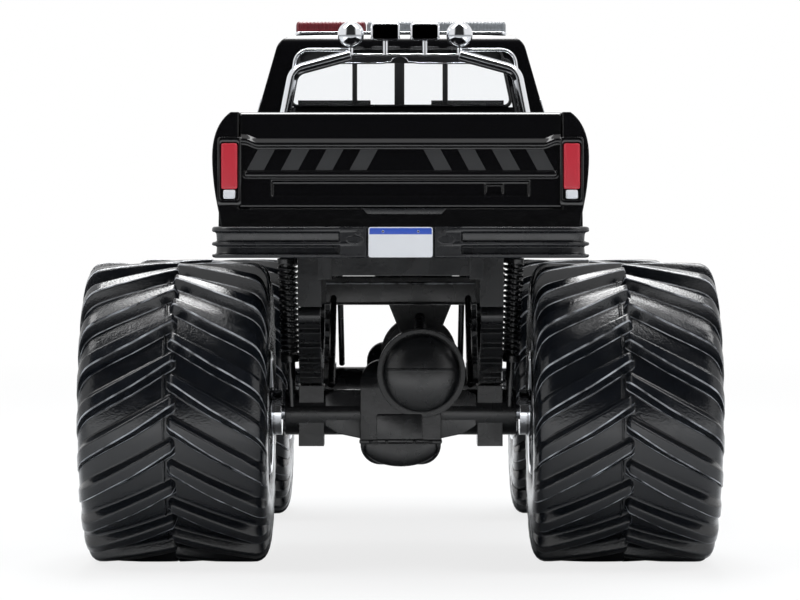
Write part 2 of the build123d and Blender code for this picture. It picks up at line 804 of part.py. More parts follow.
with BuildPart() as chassis_base:
    with BuildSketch(Plane.XY.offset(plate_bottom_z)):
        with Locations(((plate_rear_x + plate_front_x) / 2, 0)):
            Rectangle(plate_front_x - plate_rear_x, 2 * plate_half)
    extrude(amount=plate_thickness)
    for side, _ in sides:
        with BuildSketch(Plane.XY.offset(plate_bottom_z)):
            with Locations(
                ((plate_rear_x + plate_front_x) / 2, side * (rail_half_gap + rail_width / 2))
            ):
                Rectangle(plate_front_x - plate_rear_x, rail_width)
        extrude(amount=-rail_depth)
        # arms that carry the bumpers
        arm_length = plate_rear_x - bumper_face_x - bumper_depth - seam
        nose_length = front_bumper_x - bumper_depth - seam - plate_front_x
        for arm_x, length in (
            (plate_rear_x - arm_length / 2, arm_length),
            (plate_front_x + nose_length / 2, nose_length),
        ):
            with BuildSketch(Plane.XY.offset(plate_bottom_z)):
                with Locations((arm_x, side * (rail_half_gap + rail_width / 2))):
                    Rectangle(length, rail_width)
            extrude(amount=rocker_z - plate_bottom_z - seam)
        # spring hangers at both ends of each spring
        for axle_x, _, _ in axles:
            for end in (-1, 1):
                with BuildSketch(Plane.XY.offset(plate_bottom_z)):
                    with Locations(
                        (axle_x + end * spring_half, side * (hanger_half_gap + hanger_width / 2))
                    ):
                        Rectangle(hanger_length, hanger_width)
                extrude(amount=-hanger_depth)
    for cross_x in cross_places:
        with BuildSketch(Plane.XY.offset(plate_bottom_z)):
            with Locations((cross_x, 0)):
                Rectangle(cross_length, 2 * rail_half_gap + 0.4)
        extrude(amount=-cross_depth)

# Gearbox and transfer case moulding under the plate
with BuildPart() as transfer_case:
    case_y = drum_y
    case_length = 5.5
    case_depth = 7.6
    sump_to_cross = 4.6  # gap to the front axle's crossmember
    sump_end_x = front_axle_x - cross_ahead - cross_length / 2 - sump_to_cross
    sump_length = sump_end_x - (case_x + case_length / 2)
    sump_depth = 4.2
    with BuildSketch(Plane.YZ.offset(case_x - case_length / 2)):
        with BuildLine():
            Polyline(
                (case_y - 3.0, plate_bottom_z - seam),
                (case_y + 3.0, plate_bottom_z - seam),
                (case_y + 3.0, plate_bottom_z - case_depth + 3.0),
                (case_y + 1.8, plate_bottom_z - case_depth),
                (case_y - 1.8, plate_bottom_z - case_depth),
                (case_y - 3.0, plate_bottom_z - case_depth + 3.0),
                close=True,
            )
        make_face()
    extrude(amount=case_length)
    with BuildSketch(Plane.YZ.offset(case_x + case_length / 2)):
        with BuildLine():
            Polyline(
                (-3.0, plate_bottom_z - seam),
                (3.0, plate_bottom_z - seam),
                (2.0, plate_bottom_z - sump_depth),
                (-2.0, plate_bottom_z - sump_depth),
                close=True,
            )
        make_face()
    extrude(amount=sump_length)

# Axle housings with their top-mounted gear drums
housings = {}
drum_z = axle_z + drum_above_axle
for axle_x, end_name, heading in axles:
    with BuildPart() as housing:
        diff_plane = Plane(
            origin=(axle_x, diff_half, axle_z), x_dir=(1, 0, 0), z_dir=(0, -1, 0)
        )
        with BuildSketch(diff_plane):
            RectangleRounded(diff_length, 2 * diff_radius, diff_length / 2 - 0.3)
        extrude(amount=2 * diff_half)
        with BuildSketch(Plane(origin=(axle_x, 0, axle_z), x_dir=(0, 1, 0), z_dir=(1, 0, 0))):
            RectangleRounded(2 * diff_half, 2 * diff_radius, diff_corner)
        extrude(amount=diff_length, both=True, mode=Mode.INTERSECT)
        with BuildSketch(Plane(origin=(axle_x, housing_half, axle_z), z_dir=(0, -1, 0))):
            Circle(housing_radius)
        extrude(amount=2 * housing_half)
        drum_back = axle_x - heading * drum_setback
        drum_plane = Plane(origin=(drum_back, drum_y, drum_z), z_dir=(-1, 0, 0))
        with BuildSketch(drum_plane):
            Circle(drum_radius)
        extrude(amount=drum_length)
        with BuildSketch(drum_plane):
            Circle(drum_radius - drum_ring)
        extrude(amount=drum_length + drum_face)
        for side, _ in sides:
            # spring perch and its lower block
            with BuildSketch(Plane.XY.offset(axle_z - housing_radius - 0.9)):
                with Locations((axle_x, side * spring_y)):
                    Rectangle(3.6, spring_width + 0.3)
            extrude(amount=2 * housing_radius + 0.9 + spring_seat)
        # bore for the axle pin
        with BuildSketch(Plane(origin=(axle_x, past, axle_z), z_dir=(0, -1, 0))):
            Circle(pin_radius + running_clearance)
        extrude(amount=2 * past, mode=Mode.SUBTRACT)
    housings[end_name] = housing

# Leaf springs: five leaves, the longest on top, bowed down to the axle
spring_foot_z = axle_z + housing_radius + spring_seat
spring_eye_z = plate_bottom_z - hanger_depth - spring_eye_radius - seam
pack_height = leaf_count * leaf_thickness
spring_rise = spring_eye_z - spring_foot_z - pack_height
spring_bow_radius = (spring_half**2 + spring_rise**2) / (2 * spring_rise)
bow_centre_z = spring_foot_z + pack_height + spring_bow_radius

with BuildPart() as leaf_springs:
    for axle_x, _, _ in axles:
        for side, _ in sides:
            spring_plane = Plane(
                origin=(axle_x, side * spring_y + spring_width / 2, bow_centre_z),
                x_dir=(1, 0, 0),
                z_dir=(0, -1, 0),
            )
            with BuildSketch(spring_plane):
                for leaf in range(leaf_count):
                    reach = spring_half - leaf * leaf_step
                    inner = spring_bow_radius + leaf * leaf_thickness
                    spread = degrees(atan2(reach, spring_bow_radius - spring_rise))
                    with BuildLine():
                        near = CenterArc((0, 0), inner, -90 - spread, 2 * spread)
                        far = CenterArc((0, 0), inner + leaf_thickness, -90 - spread, 2 * spread)
                        Line(near @ 0, far @ 0)
                        Line(near @ 1, far @ 1)
                    make_face()
                with Locations(
                    (-spring_half, -spring_bow_radius + spring_rise),
                    (spring_half, -spring_bow_radius + spring_rise),
                ):
                    Circle(spring_eye_radius)
            extrude(amount=spring_width)

# Coil-over shock absorbers, one ahead of and one behind each end of each axle
shock_top_z = plate_bottom_z - seam
shock_bars = []
for axle_x, _, _ in axles:
    for side, _ in sides:
        for end in (-1, 1):
            foot = (axle_x + end * (housing_radius + 0.45), side * shock_y_foot, axle_z + 0.6)
            top = (axle_x + end * shock_x, side * shock_y_top, shock_top_z)
            shock_bars.append((foot, top))

with BuildPart() as shocks:
    for foot, top in shock_bars:
        line = Vector(*top) - Vector(*foot)
        rod_length = line.length * 0.36
        with BuildSketch(Plane(origin=foot, z_dir=line)):
            Circle(rod_radius)
        extrude(amount=line.length - seam)
        with BuildSketch(Plane(origin=Vector(*foot) + line.normalized() * rod_length, z_dir=line)):
            Circle(shock_radius)
        extrude(amount=line.length - rod_length - seam)

# Radius links from each axle up to the frame
with BuildPart() as radius_links:
    for axle_x, _, heading in axles:
        for side, _ in sides:
            foot = Vector(axle_x, side * link_y, axle_z + housing_radius + link_radius + seam)
            head_z = plate_bottom_z - rail_depth - link_radius - seam
            head = Vector(axle_x - heading * link_run, side * link_y, head_z)
            line = head - foot
            with BuildSketch(Plane(origin=foot, z_dir=line)):
                Circle(link_radius)
            extrude(amount=line.length)

# Drive shafts between the transfer case and the gear drums
with BuildPart() as drive_shafts:
    for axle_x, _, heading in axles:
        input_x = axle_x - (drum_setback + drum_length + drum_face if heading > 0 else -diff_length / 2)
        start = Vector(case_x + heading * case_length / 2, drum_y, plate_bottom_z - case_depth + 1.6)
        end = Vector(input_x - heading * 0.15, drum_y, drum_z)
        line = end - start
        gap = line.normalized() * 0.15
        with BuildSketch(Plane(origin=start + gap, z_dir=line)):
            Circle(shaft_radius)
        extrude(amount=line.length - 2 * gap.length)

# One tyre, about its own middle: a carcass with flats, and two rows of lugs
def ring_points(radius, phase):
    """Corners of a ring, as many as a row has lugs; phase is one corner's angle above level."""
    turns = [radians(phase + index * 360 / lug_count) for index in range(lug_count)]
    return [(-radius * cos(turn), radius * sin(turn)) for turn in turns]


def ring_plane(across):
    """A plane across the axle; its local axes are the truck's X and Z."""
    return Plane(origin=(0, across, 0), x_dir=(1, 0, 0), z_dir=(0, -1, 0))


def lug_row(side, phase):
    """One row of lugs, cut off by a ring with a corner over each lug's middle; side is +1 on the left."""
    row_width = (tyre_width - lug_seam) / 2 - seam
    row_inner = lug_seam / 2
    height = tyre_radius + lug_overrun - lug_foot_radius
    with BuildPart() as row:
        for index in range(lug_count):
            turn = radians(phase + index * 360 / lug_count)
            outward = Vector(-cos(turn), 0, sin(turn))
            along = Vector(sin(turn), 0, cos(turn))
            run = Vector(0, side, 0) * cos(radians(lug_sweep)) - along * sin(radians(lug_sweep))
            middle = outward * lug_foot_radius + Vector(0, side * (row_inner + row_width / 2), 0)
            with BuildSketch(Plane(origin=middle, x_dir=outward, z_dir=run)):
                with BuildLine():
                    foot = lug_foot_width / 2
                    head = foot - height * lug_draft
                    Polyline((0, -foot), (height, -head), (height, head), (0, foot), close=True)
                make_face()
            extrude(amount=row_width, both=True)
        with BuildSketch(ring_plane(-row_inner if side < 0 else row_inner + row_width)):
            with BuildLine():
                Polyline(*ring_points(tyre_radius, phase), close=True)
            make_face()
        extrude(amount=row_width, mode=Mode.INTERSECT)
    return row.part


foot_phase = -90.0  # one lug's middle stands on the floor
carcass_phase = foot_phase - lug_stagger / 2
lug_rows = [lug_row(1, foot_phase), lug_row(-1, foot_phase - lug_stagger)]

with BuildPart() as tyre_build:
    half_width = tyre_width / 2
    overrun = 1.0  # how far the bore's cuts start outside the tyre
    with BuildSketch(ring_plane(-half_width)):
        with BuildLine():
            Polyline(*ring_points(carcass_radius, carcass_phase), close=True)
        make_face()
    extrude(amount=-tyre_width)
    add(lug_rows)
    bore = bead_radius + press_clearance
    step = rim_lip + press_clearance
    flats = cos(radians(180 / lug_count))  # from a corner's radius to the flats' distance
    for from_y, length, radius in (
        (-half_width - overrun, tyre_width + 2 * overrun, bore),
        (-half_width - overrun, step + overrun, bore + rim_lip),
        (half_width - step, step + overrun, bore + rim_lip),
    ):
        with BuildSketch(ring_plane(from_y)):
            with BuildLine():
                Polyline(*ring_points(radius / flats, carcass_phase), close=True)
            make_face()
        extrude(amount=-length, mode=Mode.SUBTRACT)

tyre_pattern = tyre_build.part

# Wheels: a steel pin with a rim pressed on each end, and a tyre on each rim
hub_inner_y = housing_half + hub_gap
centre_face_y = tyre_outer_y - rim_centre_depth
centre_back_y = centre_face_y - rim_centre_thickness
pin_half = hub_inner_y + pin_in_hub
wheel_parts = {}
for axle_x, end_name, _ in axles:
    with BuildPart() as pin:
        with BuildSketch(Plane(origin=(axle_x, -pin_half, axle_z), z_dir=(0, 1, 0))):
            Circle(pin_radius)
        extrude(amount=2 * pin_half)
    wheel_parts[f"{end_name}_axle_pin"] = pin
    for side, side_name in sides:
        # wheel_plane: local x is the radius, local y runs outwards along the axle
        wheel_plane = Plane(
            origin=(axle_x, 0, axle_z), x_dir=(1, 0, 0), z_dir=(0, 0, side)
        )
        spin = Axis((axle_x, 0, axle_z), (0, 1, 0))
        seat = bead_radius + rim_lip
        with BuildPart() as rim:
            with BuildSketch(wheel_plane):
                with BuildLine():
                    Polyline(
                        (pin_radius + press_clearance, hub_inner_y),
                        (hub_radius, hub_inner_y),
                        (hub_radius, centre_back_y),
                        (bead_radius - rim_wall, centre_back_y),
                        (bead_radius - rim_wall, tyre_inner_y),
                        (seat, tyre_inner_y),
                        (seat, tyre_inner_y + rim_lip),
                        (bead_radius, tyre_inner_y + rim_lip),
                        (bead_radius, tyre_outer_y - rim_lip),
                        (seat, tyre_outer_y - rim_lip),
                        (seat, tyre_outer_y),
                        (seat - rim_lip, tyre_outer_y),
                        (bead_radius - rim_wall, tyre_outer_y - 0.7),
                        (bead_radius - rim_wall, centre_face_y),
                        (hub_cap_radius, centre_face_y),
                        (hub_cap_radius, centre_face_y + hub_cap_length),
                        (0, centre_face_y + hub_cap_length),
                        (0, pin_half + press_clearance),
                        (pin_radius + press_clearance, pin_half + press_clearance),
                        close=True,
                    )
                make_face()
            revolve(axis=spin)
            hole_plane = Plane(origin=(axle_x, side * past, axle_z), z_dir=(0, -side, 0))
            with BuildSketch(hole_plane):
                with PolarLocations(rim_hole_circle, rim_hole_count):
                    Circle(rim_hole_radius)
            extrude(amount=past - centre_back_y + 0.2, mode=Mode.SUBTRACT)
        wheel_parts[f"{end_name}_rim_{side_name}"] = rim
        with BuildPart() as tyre:
            with Locations((axle_x, side * half_track, axle_z)):
                add(tyre_pattern)
        wheel_parts[f"{end_name}_tyre_{side_name}"] = tyre

pieces = {
    "cab_body": cab_body,
    "glazing": glazing,
    "interior": interior,
    "dashboard": dashboard,
    "steering_wheel": steering_wheel,
    "bed_body": bed_body,
    "tailgate": tailgate,
    "tail_lamps": tail_lamps,
    "reverse_lamps": reverse_lamps,
    "rear_bumper": rear_bumper,
    "front_bumper": front_bumper,
    "number_plate": number_plate,
    "grille": grille,
    "headlamps": headlamps,
    "indicators": indicators,
    "light_bar_base": light_bar_base,
    "light_bar_red_lens": light_bar_lenses[0],
    "light_bar_clear_lens": light_bar_lenses[1],
    "roll_bar": roll_bar,
    "round_lamps": round_lamps,
    "rect_lamps": rect_lamps,
    "chassis_base": chassis_base,
    "transfer_case": transfer_case,
    "rear_axle_housing": housings["rear"],
    "front_axle_housing": housings["front"],
    "leaf_springs": leaf_springs,
    "shocks": shocks,
    "radius_links": radius_links,
    "drive_shafts": drive_shafts,
    **wheel_parts,
}

for name, piece in pieces.items():
    piece.part.label = name
    export_step(piece.part, f"parts/{name}.step")
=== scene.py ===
import math

import bmesh
import bpy
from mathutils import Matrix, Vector


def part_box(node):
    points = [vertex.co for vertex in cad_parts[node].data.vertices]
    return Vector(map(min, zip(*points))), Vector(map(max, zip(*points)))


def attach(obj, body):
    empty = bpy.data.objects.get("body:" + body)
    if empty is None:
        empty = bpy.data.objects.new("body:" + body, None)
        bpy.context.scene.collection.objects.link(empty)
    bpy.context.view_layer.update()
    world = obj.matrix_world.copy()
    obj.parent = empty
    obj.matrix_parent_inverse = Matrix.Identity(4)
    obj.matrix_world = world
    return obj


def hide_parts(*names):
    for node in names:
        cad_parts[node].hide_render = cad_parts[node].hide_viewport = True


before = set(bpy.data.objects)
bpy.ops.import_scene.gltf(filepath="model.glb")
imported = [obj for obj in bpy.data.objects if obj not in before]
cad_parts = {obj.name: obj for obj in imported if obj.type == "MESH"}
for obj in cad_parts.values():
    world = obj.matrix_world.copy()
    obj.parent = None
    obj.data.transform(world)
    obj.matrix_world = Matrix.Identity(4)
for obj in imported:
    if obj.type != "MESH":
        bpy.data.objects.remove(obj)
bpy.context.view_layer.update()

# A 1:64 die-cast monster truck, seen from behind. Lengths are in millimetres until a mesh is made.
# +X is forward, +Y is the truck's left and +Z is up. Left and right are the truck's own.
MM = 0.001
ends = ("rear", "front")
sides = (("left", 1), ("right", -1))


def box_of(node):
    """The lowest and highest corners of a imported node, in millimetres."""
    low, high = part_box(node)
    return Vector(low) / MM, Vector(high) / MM


# Photograph and camera
picture_width, picture_height = 800, 600
sensor_width = 36.0
focal_pixels = 3406.0
camera_place = Vector((-322.65, -0.2, 28.1))
middle_column = 403.0  # picture column of the truck's middle plane
horizon_row = 241.0

camera_data = bpy.data.cameras.new("camera")
camera_data.lens = focal_pixels * sensor_width / picture_width
camera_data.sensor_width = sensor_width
camera_data.sensor_fit = "HORIZONTAL"
camera_data.shift_x = (picture_width / 2 - middle_column) / picture_width
camera_data.shift_y = (horizon_row - picture_height / 2) / picture_width
camera_data.clip_start = 0.005
camera_data.clip_end = 20.0
camera = bpy.data.objects.new("camera", camera_data)
camera.location = camera_place * MM
camera.rotation_euler = (math.radians(90), 0, math.radians(-90))
bpy.context.scene.collection.objects.link(camera)
bpy.context.scene.camera = camera
bpy.context.scene.view_settings.view_transform = "Standard"


# Colours and nodes
def linear(code):
    """An sRGB hex colour as the linear values that a shader takes."""
    values = []
    for start in (1, 3, 5):
        part = int(code[start:start + 2], 16) / 255
        values.append(part / 12.92 if part <= 0.04045 else ((part + 0.055) / 1.055) ** 2.4)
    return (*values, 1.0)


def add_node(tree, kind, inputs=None, **settings):
    """Add one node with its settings; inputs maps a socket to a value or to another node's output."""
    made = tree.nodes.new(kind)
    for name, value in settings.items():
        setattr(made, name, value)
    for socket, value in (inputs or {}).items():
        if isinstance(value, bpy.types.NodeSocket):
            tree.links.new(value, made.inputs[socket])
        else:
            made.inputs[socket].default_value = value
    return made


def per_mm(size):
    """The scale of a pattern whose features are that many millimetres across."""
    return 1.0 / (size * MM)


def finish(name, colour, sockets, grain=None, patches=None, round_edges=0.0, tint=None):
    """A moulded, plated or painted surface.

    grain is (size in mm, height in mm); patches is (size in mm, how far the roughness strays in them);
    round_edges is the radius in mm that sharp edges show; tint adds nodes and returns the colour they make.
    """
    material = bpy.data.materials.new(name)
    material.use_nodes = True
    tree = material.node_tree
    tree.nodes.clear()
    spot = add_node(tree, "ShaderNodeTexCoord").outputs["Object"]
    shader = add_node(tree, "ShaderNodeBsdfPrincipled", {"Base Color": linear(colour), **sockets})
    normal = None
    if round_edges:
        bevel = add_node(tree, "ShaderNodeBevel", {"Radius": round_edges * MM}, samples=6)
        normal = bevel.outputs["Normal"]
    if grain:
        size, height = grain
        noise = add_node(tree, "ShaderNodeTexNoise", {"Vector": spot, "Scale": per_mm(size), "Detail": 3.0})
        bump_inputs = {"Height": noise.outputs["Fac"], "Distance": height * MM, "Strength": 1.0}
        if normal:
            bump_inputs["Normal"] = normal
        normal = add_node(tree, "ShaderNodeBump", bump_inputs).outputs["Normal"]
    if normal:
        tree.links.new(normal, shader.inputs["Normal"])
    if patches:
        size, spread_of_roughness = patches
        noise = add_node(tree, "ShaderNodeTexNoise", {"Vector": spot, "Scale": per_mm(size), "Detail": 4.0})
        ranged = add_node(
            tree, "ShaderNodeMapRange",
            {
                "Value": noise.outputs["Fac"], "From Min": 0.3, "From Max": 0.7,
                "To Min": sockets["Roughness"] - spread_of_roughness,
                "To Max": sockets["Roughness"] + spread_of_roughness,
            },
        )
        tree.links.new(ranged.outputs["Result"], shader.inputs["Roughness"])
    if tint:
        tree.links.new(tint(tree, spot), shader.inputs["Base Color"])
    add_node(tree, "ShaderNodeOutputMaterial", {"Surface": shader.outputs["BSDF"]})
    return material


def painted_highlight_streaks(tree, spot):
    """Painted highlight: light and dark stretches along an edge, in place of the glint along its rounding."""
    streaks = add_node(tree, "ShaderNodeTexNoise", {"Vector": spot, "Scale": per_mm(1.5), "Detail": 3.0})
    ranged = add_node(
        tree, "ShaderNodeMapRange", {"Value": streaks.outputs["Fac"], "From Min": 0.36, "From Max": 0.66},
    )
    mixed = add_node(
        tree, "ShaderNodeMix",
        {0: ranged.outputs["Result"], 6: linear("#23262b"), 7: linear("#a9adb4")}, data_type="RGBA",
    )
    return mixed.outputs[2]


# Finishes, each named for what the model's part is made of
# Gloss black enamel sprayed on a zinc casting: mirror-like, with a faint orange peel.
black_enamel = finish(
    "gloss_black_enamel", "#08080a",
    {"Roughness": 0.07, "IOR": 1.5, "Coat Weight": 0.15, "Coat Roughness": 0.03},
    grain=(1.4, 0.004), round_edges=0.16,
)
# Soft vinyl pressed in a steel mould: satin, sparkling on a fine grain, duller in patches.
tyre_vinyl = finish(
    "moulded_vinyl_tyre", "#101318", {"Roughness": 0.2, "IOR": 1.52, "Specular IOR Level": 0.55},
    grain=(0.19, 0.024), patches=(1.3, 0.07), round_edges=0.12,
)
# The same vinyl along the lugs' edges, painted lighter in thin broken lines: a painted highlight where the
# edges catch the light.
vinyl_painted_highlight = finish(
    "vinyl_edge_painted_highlight", "#6e7278", {"Roughness": 0.22, "IOR": 1.52, "Specular IOR Level": 0.8},
    grain=(0.2, 0.016), tint=painted_highlight_streaks,
)
# Vacuum-plated styrene: a bright mirror, a little soft over moulded edges.
plated_chrome = finish(
    "vacuum_plated_chrome", "#e4e6ea", {"Metallic": 1.0, "Roughness": 0.07},
    grain=(1.1, 0.004), round_edges=0.12,
)
# Satin black ABS, straight from the mould: broad soft highlights.
black_abs = finish(
    "moulded_black_abs", "#101113", {"Roughness": 0.26, "IOR": 1.52},
    grain=(0.4, 0.006), patches=(2.4, 0.07), round_edges=0.12,
)
# Bumpers in a greyer satin plastic than the base.
bumper_abs = finish(
    "moulded_grey_black_abs", "#141518", {"Roughness": 0.27, "IOR": 1.52},
    grain=(0.45, 0.005), patches=(2.0, 0.06), round_edges=0.1,
)
# Clear styrene panes, thin and almost colourless.
clear_styrene = finish(
    "clear_moulded_styrene", "#fafbfc", {"Roughness": 0.02, "IOR": 1.15, "Transmission Weight": 1.0},
)
# Cab interior in dull dark plastic with a fine leather-like grain.
interior_plastic = finish(
    "grained_interior_plastic", "#1f2022", {"Roughness": 0.5, "IOR": 1.5},
    grain=(0.35, 0.01), round_edges=0.15,
)
# Pad-printed inks: dull and opaque, with a fine grain.
red_ink = finish("pad_printed_red_ink", "#b82636", {"Roughness": 0.38, "IOR": 1.5}, grain=(0.3, 0.006))
white_ink = finish("pad_printed_white_ink", "#dcdfe4", {"Roughness": 0.45, "IOR": 1.5}, grain=(0.3, 0.004))
blue_ink = finish("pad_printed_blue_ink", "#2b50b4", {"Roughness": 0.42, "IOR": 1.5}, grain=(0.3, 0.004))
grey_ink = finish("pad_printed_grey_ink", "#222325", {"Roughness": 0.5, "IOR": 1.5}, grain=(0.3, 0.004))
# Tinted clear plastic lenses: glossy, with some light passing through.
red_lens = finish(
    "red_moulded_lens", "#82323a", {"Roughness": 0.1, "IOR": 1.5, "Transmission Weight": 0.3},
    grain=(0.6, 0.006), round_edges=0.1,
)
clear_lens = finish(
    "clear_moulded_lens", "#a3a8ad", {"Roughness": 0.1, "IOR": 1.5, "Transmission Weight": 0.4},
    grain=(0.6, 0.006), round_edges=0.1,
)
amber_lens = finish(
    "amber_moulded_lens", "#e58a1e", {"Roughness": 0.15, "IOR": 1.5, "Transmission Weight": 0.3},
    grain=(0.5, 0.006),
)
# Drawn steel wire: bright, with fine scratches.
drawn_steel = finish("drawn_steel_wire", "#b8babf", {"Metallic": 1.0, "Roughness": 0.24}, grain=(0.2, 0.004))


# Outlines and tables
def spread(start, end, count):
    """Evenly spaced numbers from start to end, with that many gaps between them."""
    return [start + (end - start) * step / count for step in range(count + 1)]


def turns(count):
    """Evenly spaced angles once round a circle."""
    return spread(0.0, 2 * math.pi, count)[:-1]


def read_off(table, value):
    """The second column of a table at a value of its first, in straight steps."""
    for (low, first), (high, second) in zip(table, table[1:]):
        if value <= high:
            return first + (second - first) * (value - low) / (high - low)
    return table[-1][1]


def clamped(value, low, high):
    """A value kept between two limits."""
    return max(low, min(high, value))


def smooth_step(value, low, high):
    """0 below low, 1 above high and a soft curve between."""
    t = clamped((value - low) / (high - low), 0.0, 1.0)
    return t * t * (3 - 2 * t)


def rectangle(width, height, centre=(0, 0)):
    """Corners of an upright rectangle."""
    x, y = centre
    return [(x - width / 2, y - height / 2), (x + width / 2, y - height / 2),
            (x + width / 2, y + height / 2), (x - width / 2, y + height / 2)]


def rounded(outline, radius, steps=4):
    """An outline with its corners rounded; radius is one value or a list with one for each corner."""
    result = []
    for index, corner in enumerate(outline):
        size = radius[index] if isinstance(radius, list) else radius
        if not size:
            result.append(tuple(corner))
            continue
        here = Vector(corner)
        back = (Vector(outline[index - 1]) - here).normalized()
        ahead = (Vector(outline[(index + 1) % len(outline)]) - here).normalized()
        reach = size / math.tan(back.angle(ahead) / 2)
        start, end = here + back * reach, here + ahead * reach
        for t in spread(0.0, 1.0, steps):
            result.append(tuple((1 - t) ** 2 * start + 2 * t * (1 - t) * here + t ** 2 * end))
    return result


def drawn_in(outline, centre, reach, amount):
    """An outline shrunk towards its centre by an amount; reach is its half width and half height."""
    shares = [1 - amount / half for half in reach]
    return [
        tuple(middle + (value - middle) * share for value, middle, share in zip(point, centre, shares))
        for point in outline
    ]


def on_axis(axis, along, across):
    """A point from its distance along an axis and its two distances across it."""
    first, second = across
    return {"x": (along, first, second), "y": (first, along, second), "z": (first, second, along)}[axis]


class Shape:
    """Points and faces of one piece, in millimetres, with a finish number for each face."""

    def __init__(self):
        self.points = []
        self.faces = []
        self.paints = []

    def add(self, points, faces, paint=0):
        """Faces over points that only they use."""
        first = len(self.points)
        self.points.extend(tuple(point) for point in points)
        self.faces.extend([first + corner for corner in face] for face in faces)
        self.paints.extend([paint] * len(faces))

    def grid(self, rows, paint=0, ring=False, loop=False):
        """Quads over rows of points; ring joins each row's ends, loop joins the last row to the first."""
        width = len(rows[0])
        faces = []
        for row in range(len(rows) if loop else len(rows) - 1):
            here, above = row * width, (row + 1) % len(rows) * width
            for column in range(width if ring else width - 1):
                beside = (column + 1) % width
                faces.append((here + column, here + beside, above + beside, above + column))
        self.add([point for row in rows for point in row], faces, paint)

    def tube(self, rows, paint=0):
        """Rings of points joined along their length and closed at both ends."""
        self.grid(rows, paint, ring=True)
        width = len(rows[0])
        first = len(self.points) - width * len(rows)
        last = len(self.points) - width
        self.faces.append([first + corner for corner in reversed(range(width))])
        self.faces.append([last + corner for corner in range(width)])
        self.paints += [paint, paint]

    def prism(self, outline, axis, low, high, paint=0):
        """An outline in the two axes across the given one, pushed from low to high along it."""
        self.tube([[on_axis(axis, along, point) for point in outline] for along in (low, high)], paint)

    def stack(self, outline, axis, centre, reach, levels, closed=True):
        """An outline at several places along an axis; a level is the place and how far it is drawn in."""
        rows = [
            [on_axis(axis, along, point) for point in drawn_in(outline, centre, reach, amount)]
            for along, amount in levels
        ]
        if closed:
            self.tube(rows)
        else:
            self.grid(rows, ring=True)

    def lathe(self, profile, centre, steps, axis="x", paint=0, closed=False):
        """A profile of (radius, along) points turned about an axis; closed joins its two ends."""
        rows = []
        for turn in turns(steps):
            row = []
            for radius, along in profile:
                offset = on_axis(axis, along, (radius * math.cos(turn), radius * math.sin(turn)))
                row.append(tuple(a + b for a, b in zip(centre, offset)))
            rows.append(row)
        self.grid(rows, paint, ring=closed, loop=True)

    def rod(self, points, radius, side_count):
        """A round bar along a run of points."""
        rings = []
        for index, point in enumerate(points):
            ahead = Vector(points[min(index + 1, len(points) - 1)]) - Vector(points[max(index - 1, 0)])
            across = ahead.cross(Vector((0, 0, 1)))
            if across.length < 1e-6:
                across = Vector((0, 1, 0))
            across.normalize()
            other = across.cross(ahead).normalized()
            spokes = [(across * math.cos(a) + other * math.sin(a)) * radius for a in turns(side_count)]
            rings.append([Vector(point) + spoke for spoke in spokes])
        self.tube(rings)


def make(shape, name, finishes, replaces=(), body="truck", smooth=34.0, bevel=0.0):
    """Turn a shape into a piece that rides on a body; edges sharper than smooth degrees stay sharp."""
    mesh = bpy.data.meshes.new(name)
    mesh.from_pydata([Vector(point) * MM for point in shape.points], [], shape.faces)
    mesh.polygons.foreach_set("material_index", shape.paints)
    mesh.update()
    work = bmesh.new()
    work.from_mesh(mesh)
    bmesh.ops.remove_doubles(work, verts=work.verts, dist=0.0002 * MM)
    bmesh.ops.dissolve_degenerate(work, edges=work.edges, dist=0.0002 * MM)
    bmesh.ops.recalc_face_normals(work, faces=work.faces)
    if bevel:
        sharp = [
            edge for edge in work.edges
            if len(edge.link_faces) == 2 and edge.calc_face_angle(0) > math.radians(30)
        ]
        bmesh.ops.bevel(
            work, geom=sharp, offset=bevel * MM, offset_type="OFFSET", segments=2,
            profile=0.6, affect="EDGES", clamp_overlap=True,
        )
    work.to_mesh(mesh)
    work.free()
    mesh.polygons.foreach_set("use_smooth", [True] * len(mesh.polygons))
    mesh.set_sharp_from_angle(angle=math.radians(smooth))
    piece = bpy.data.objects.new(name, mesh)
    bpy.context.scene.collection.objects.link(piece)
    for one in finishes:
        mesh.materials.append(one)
    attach(piece, body)
    if replaces:
        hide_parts(*replaces)


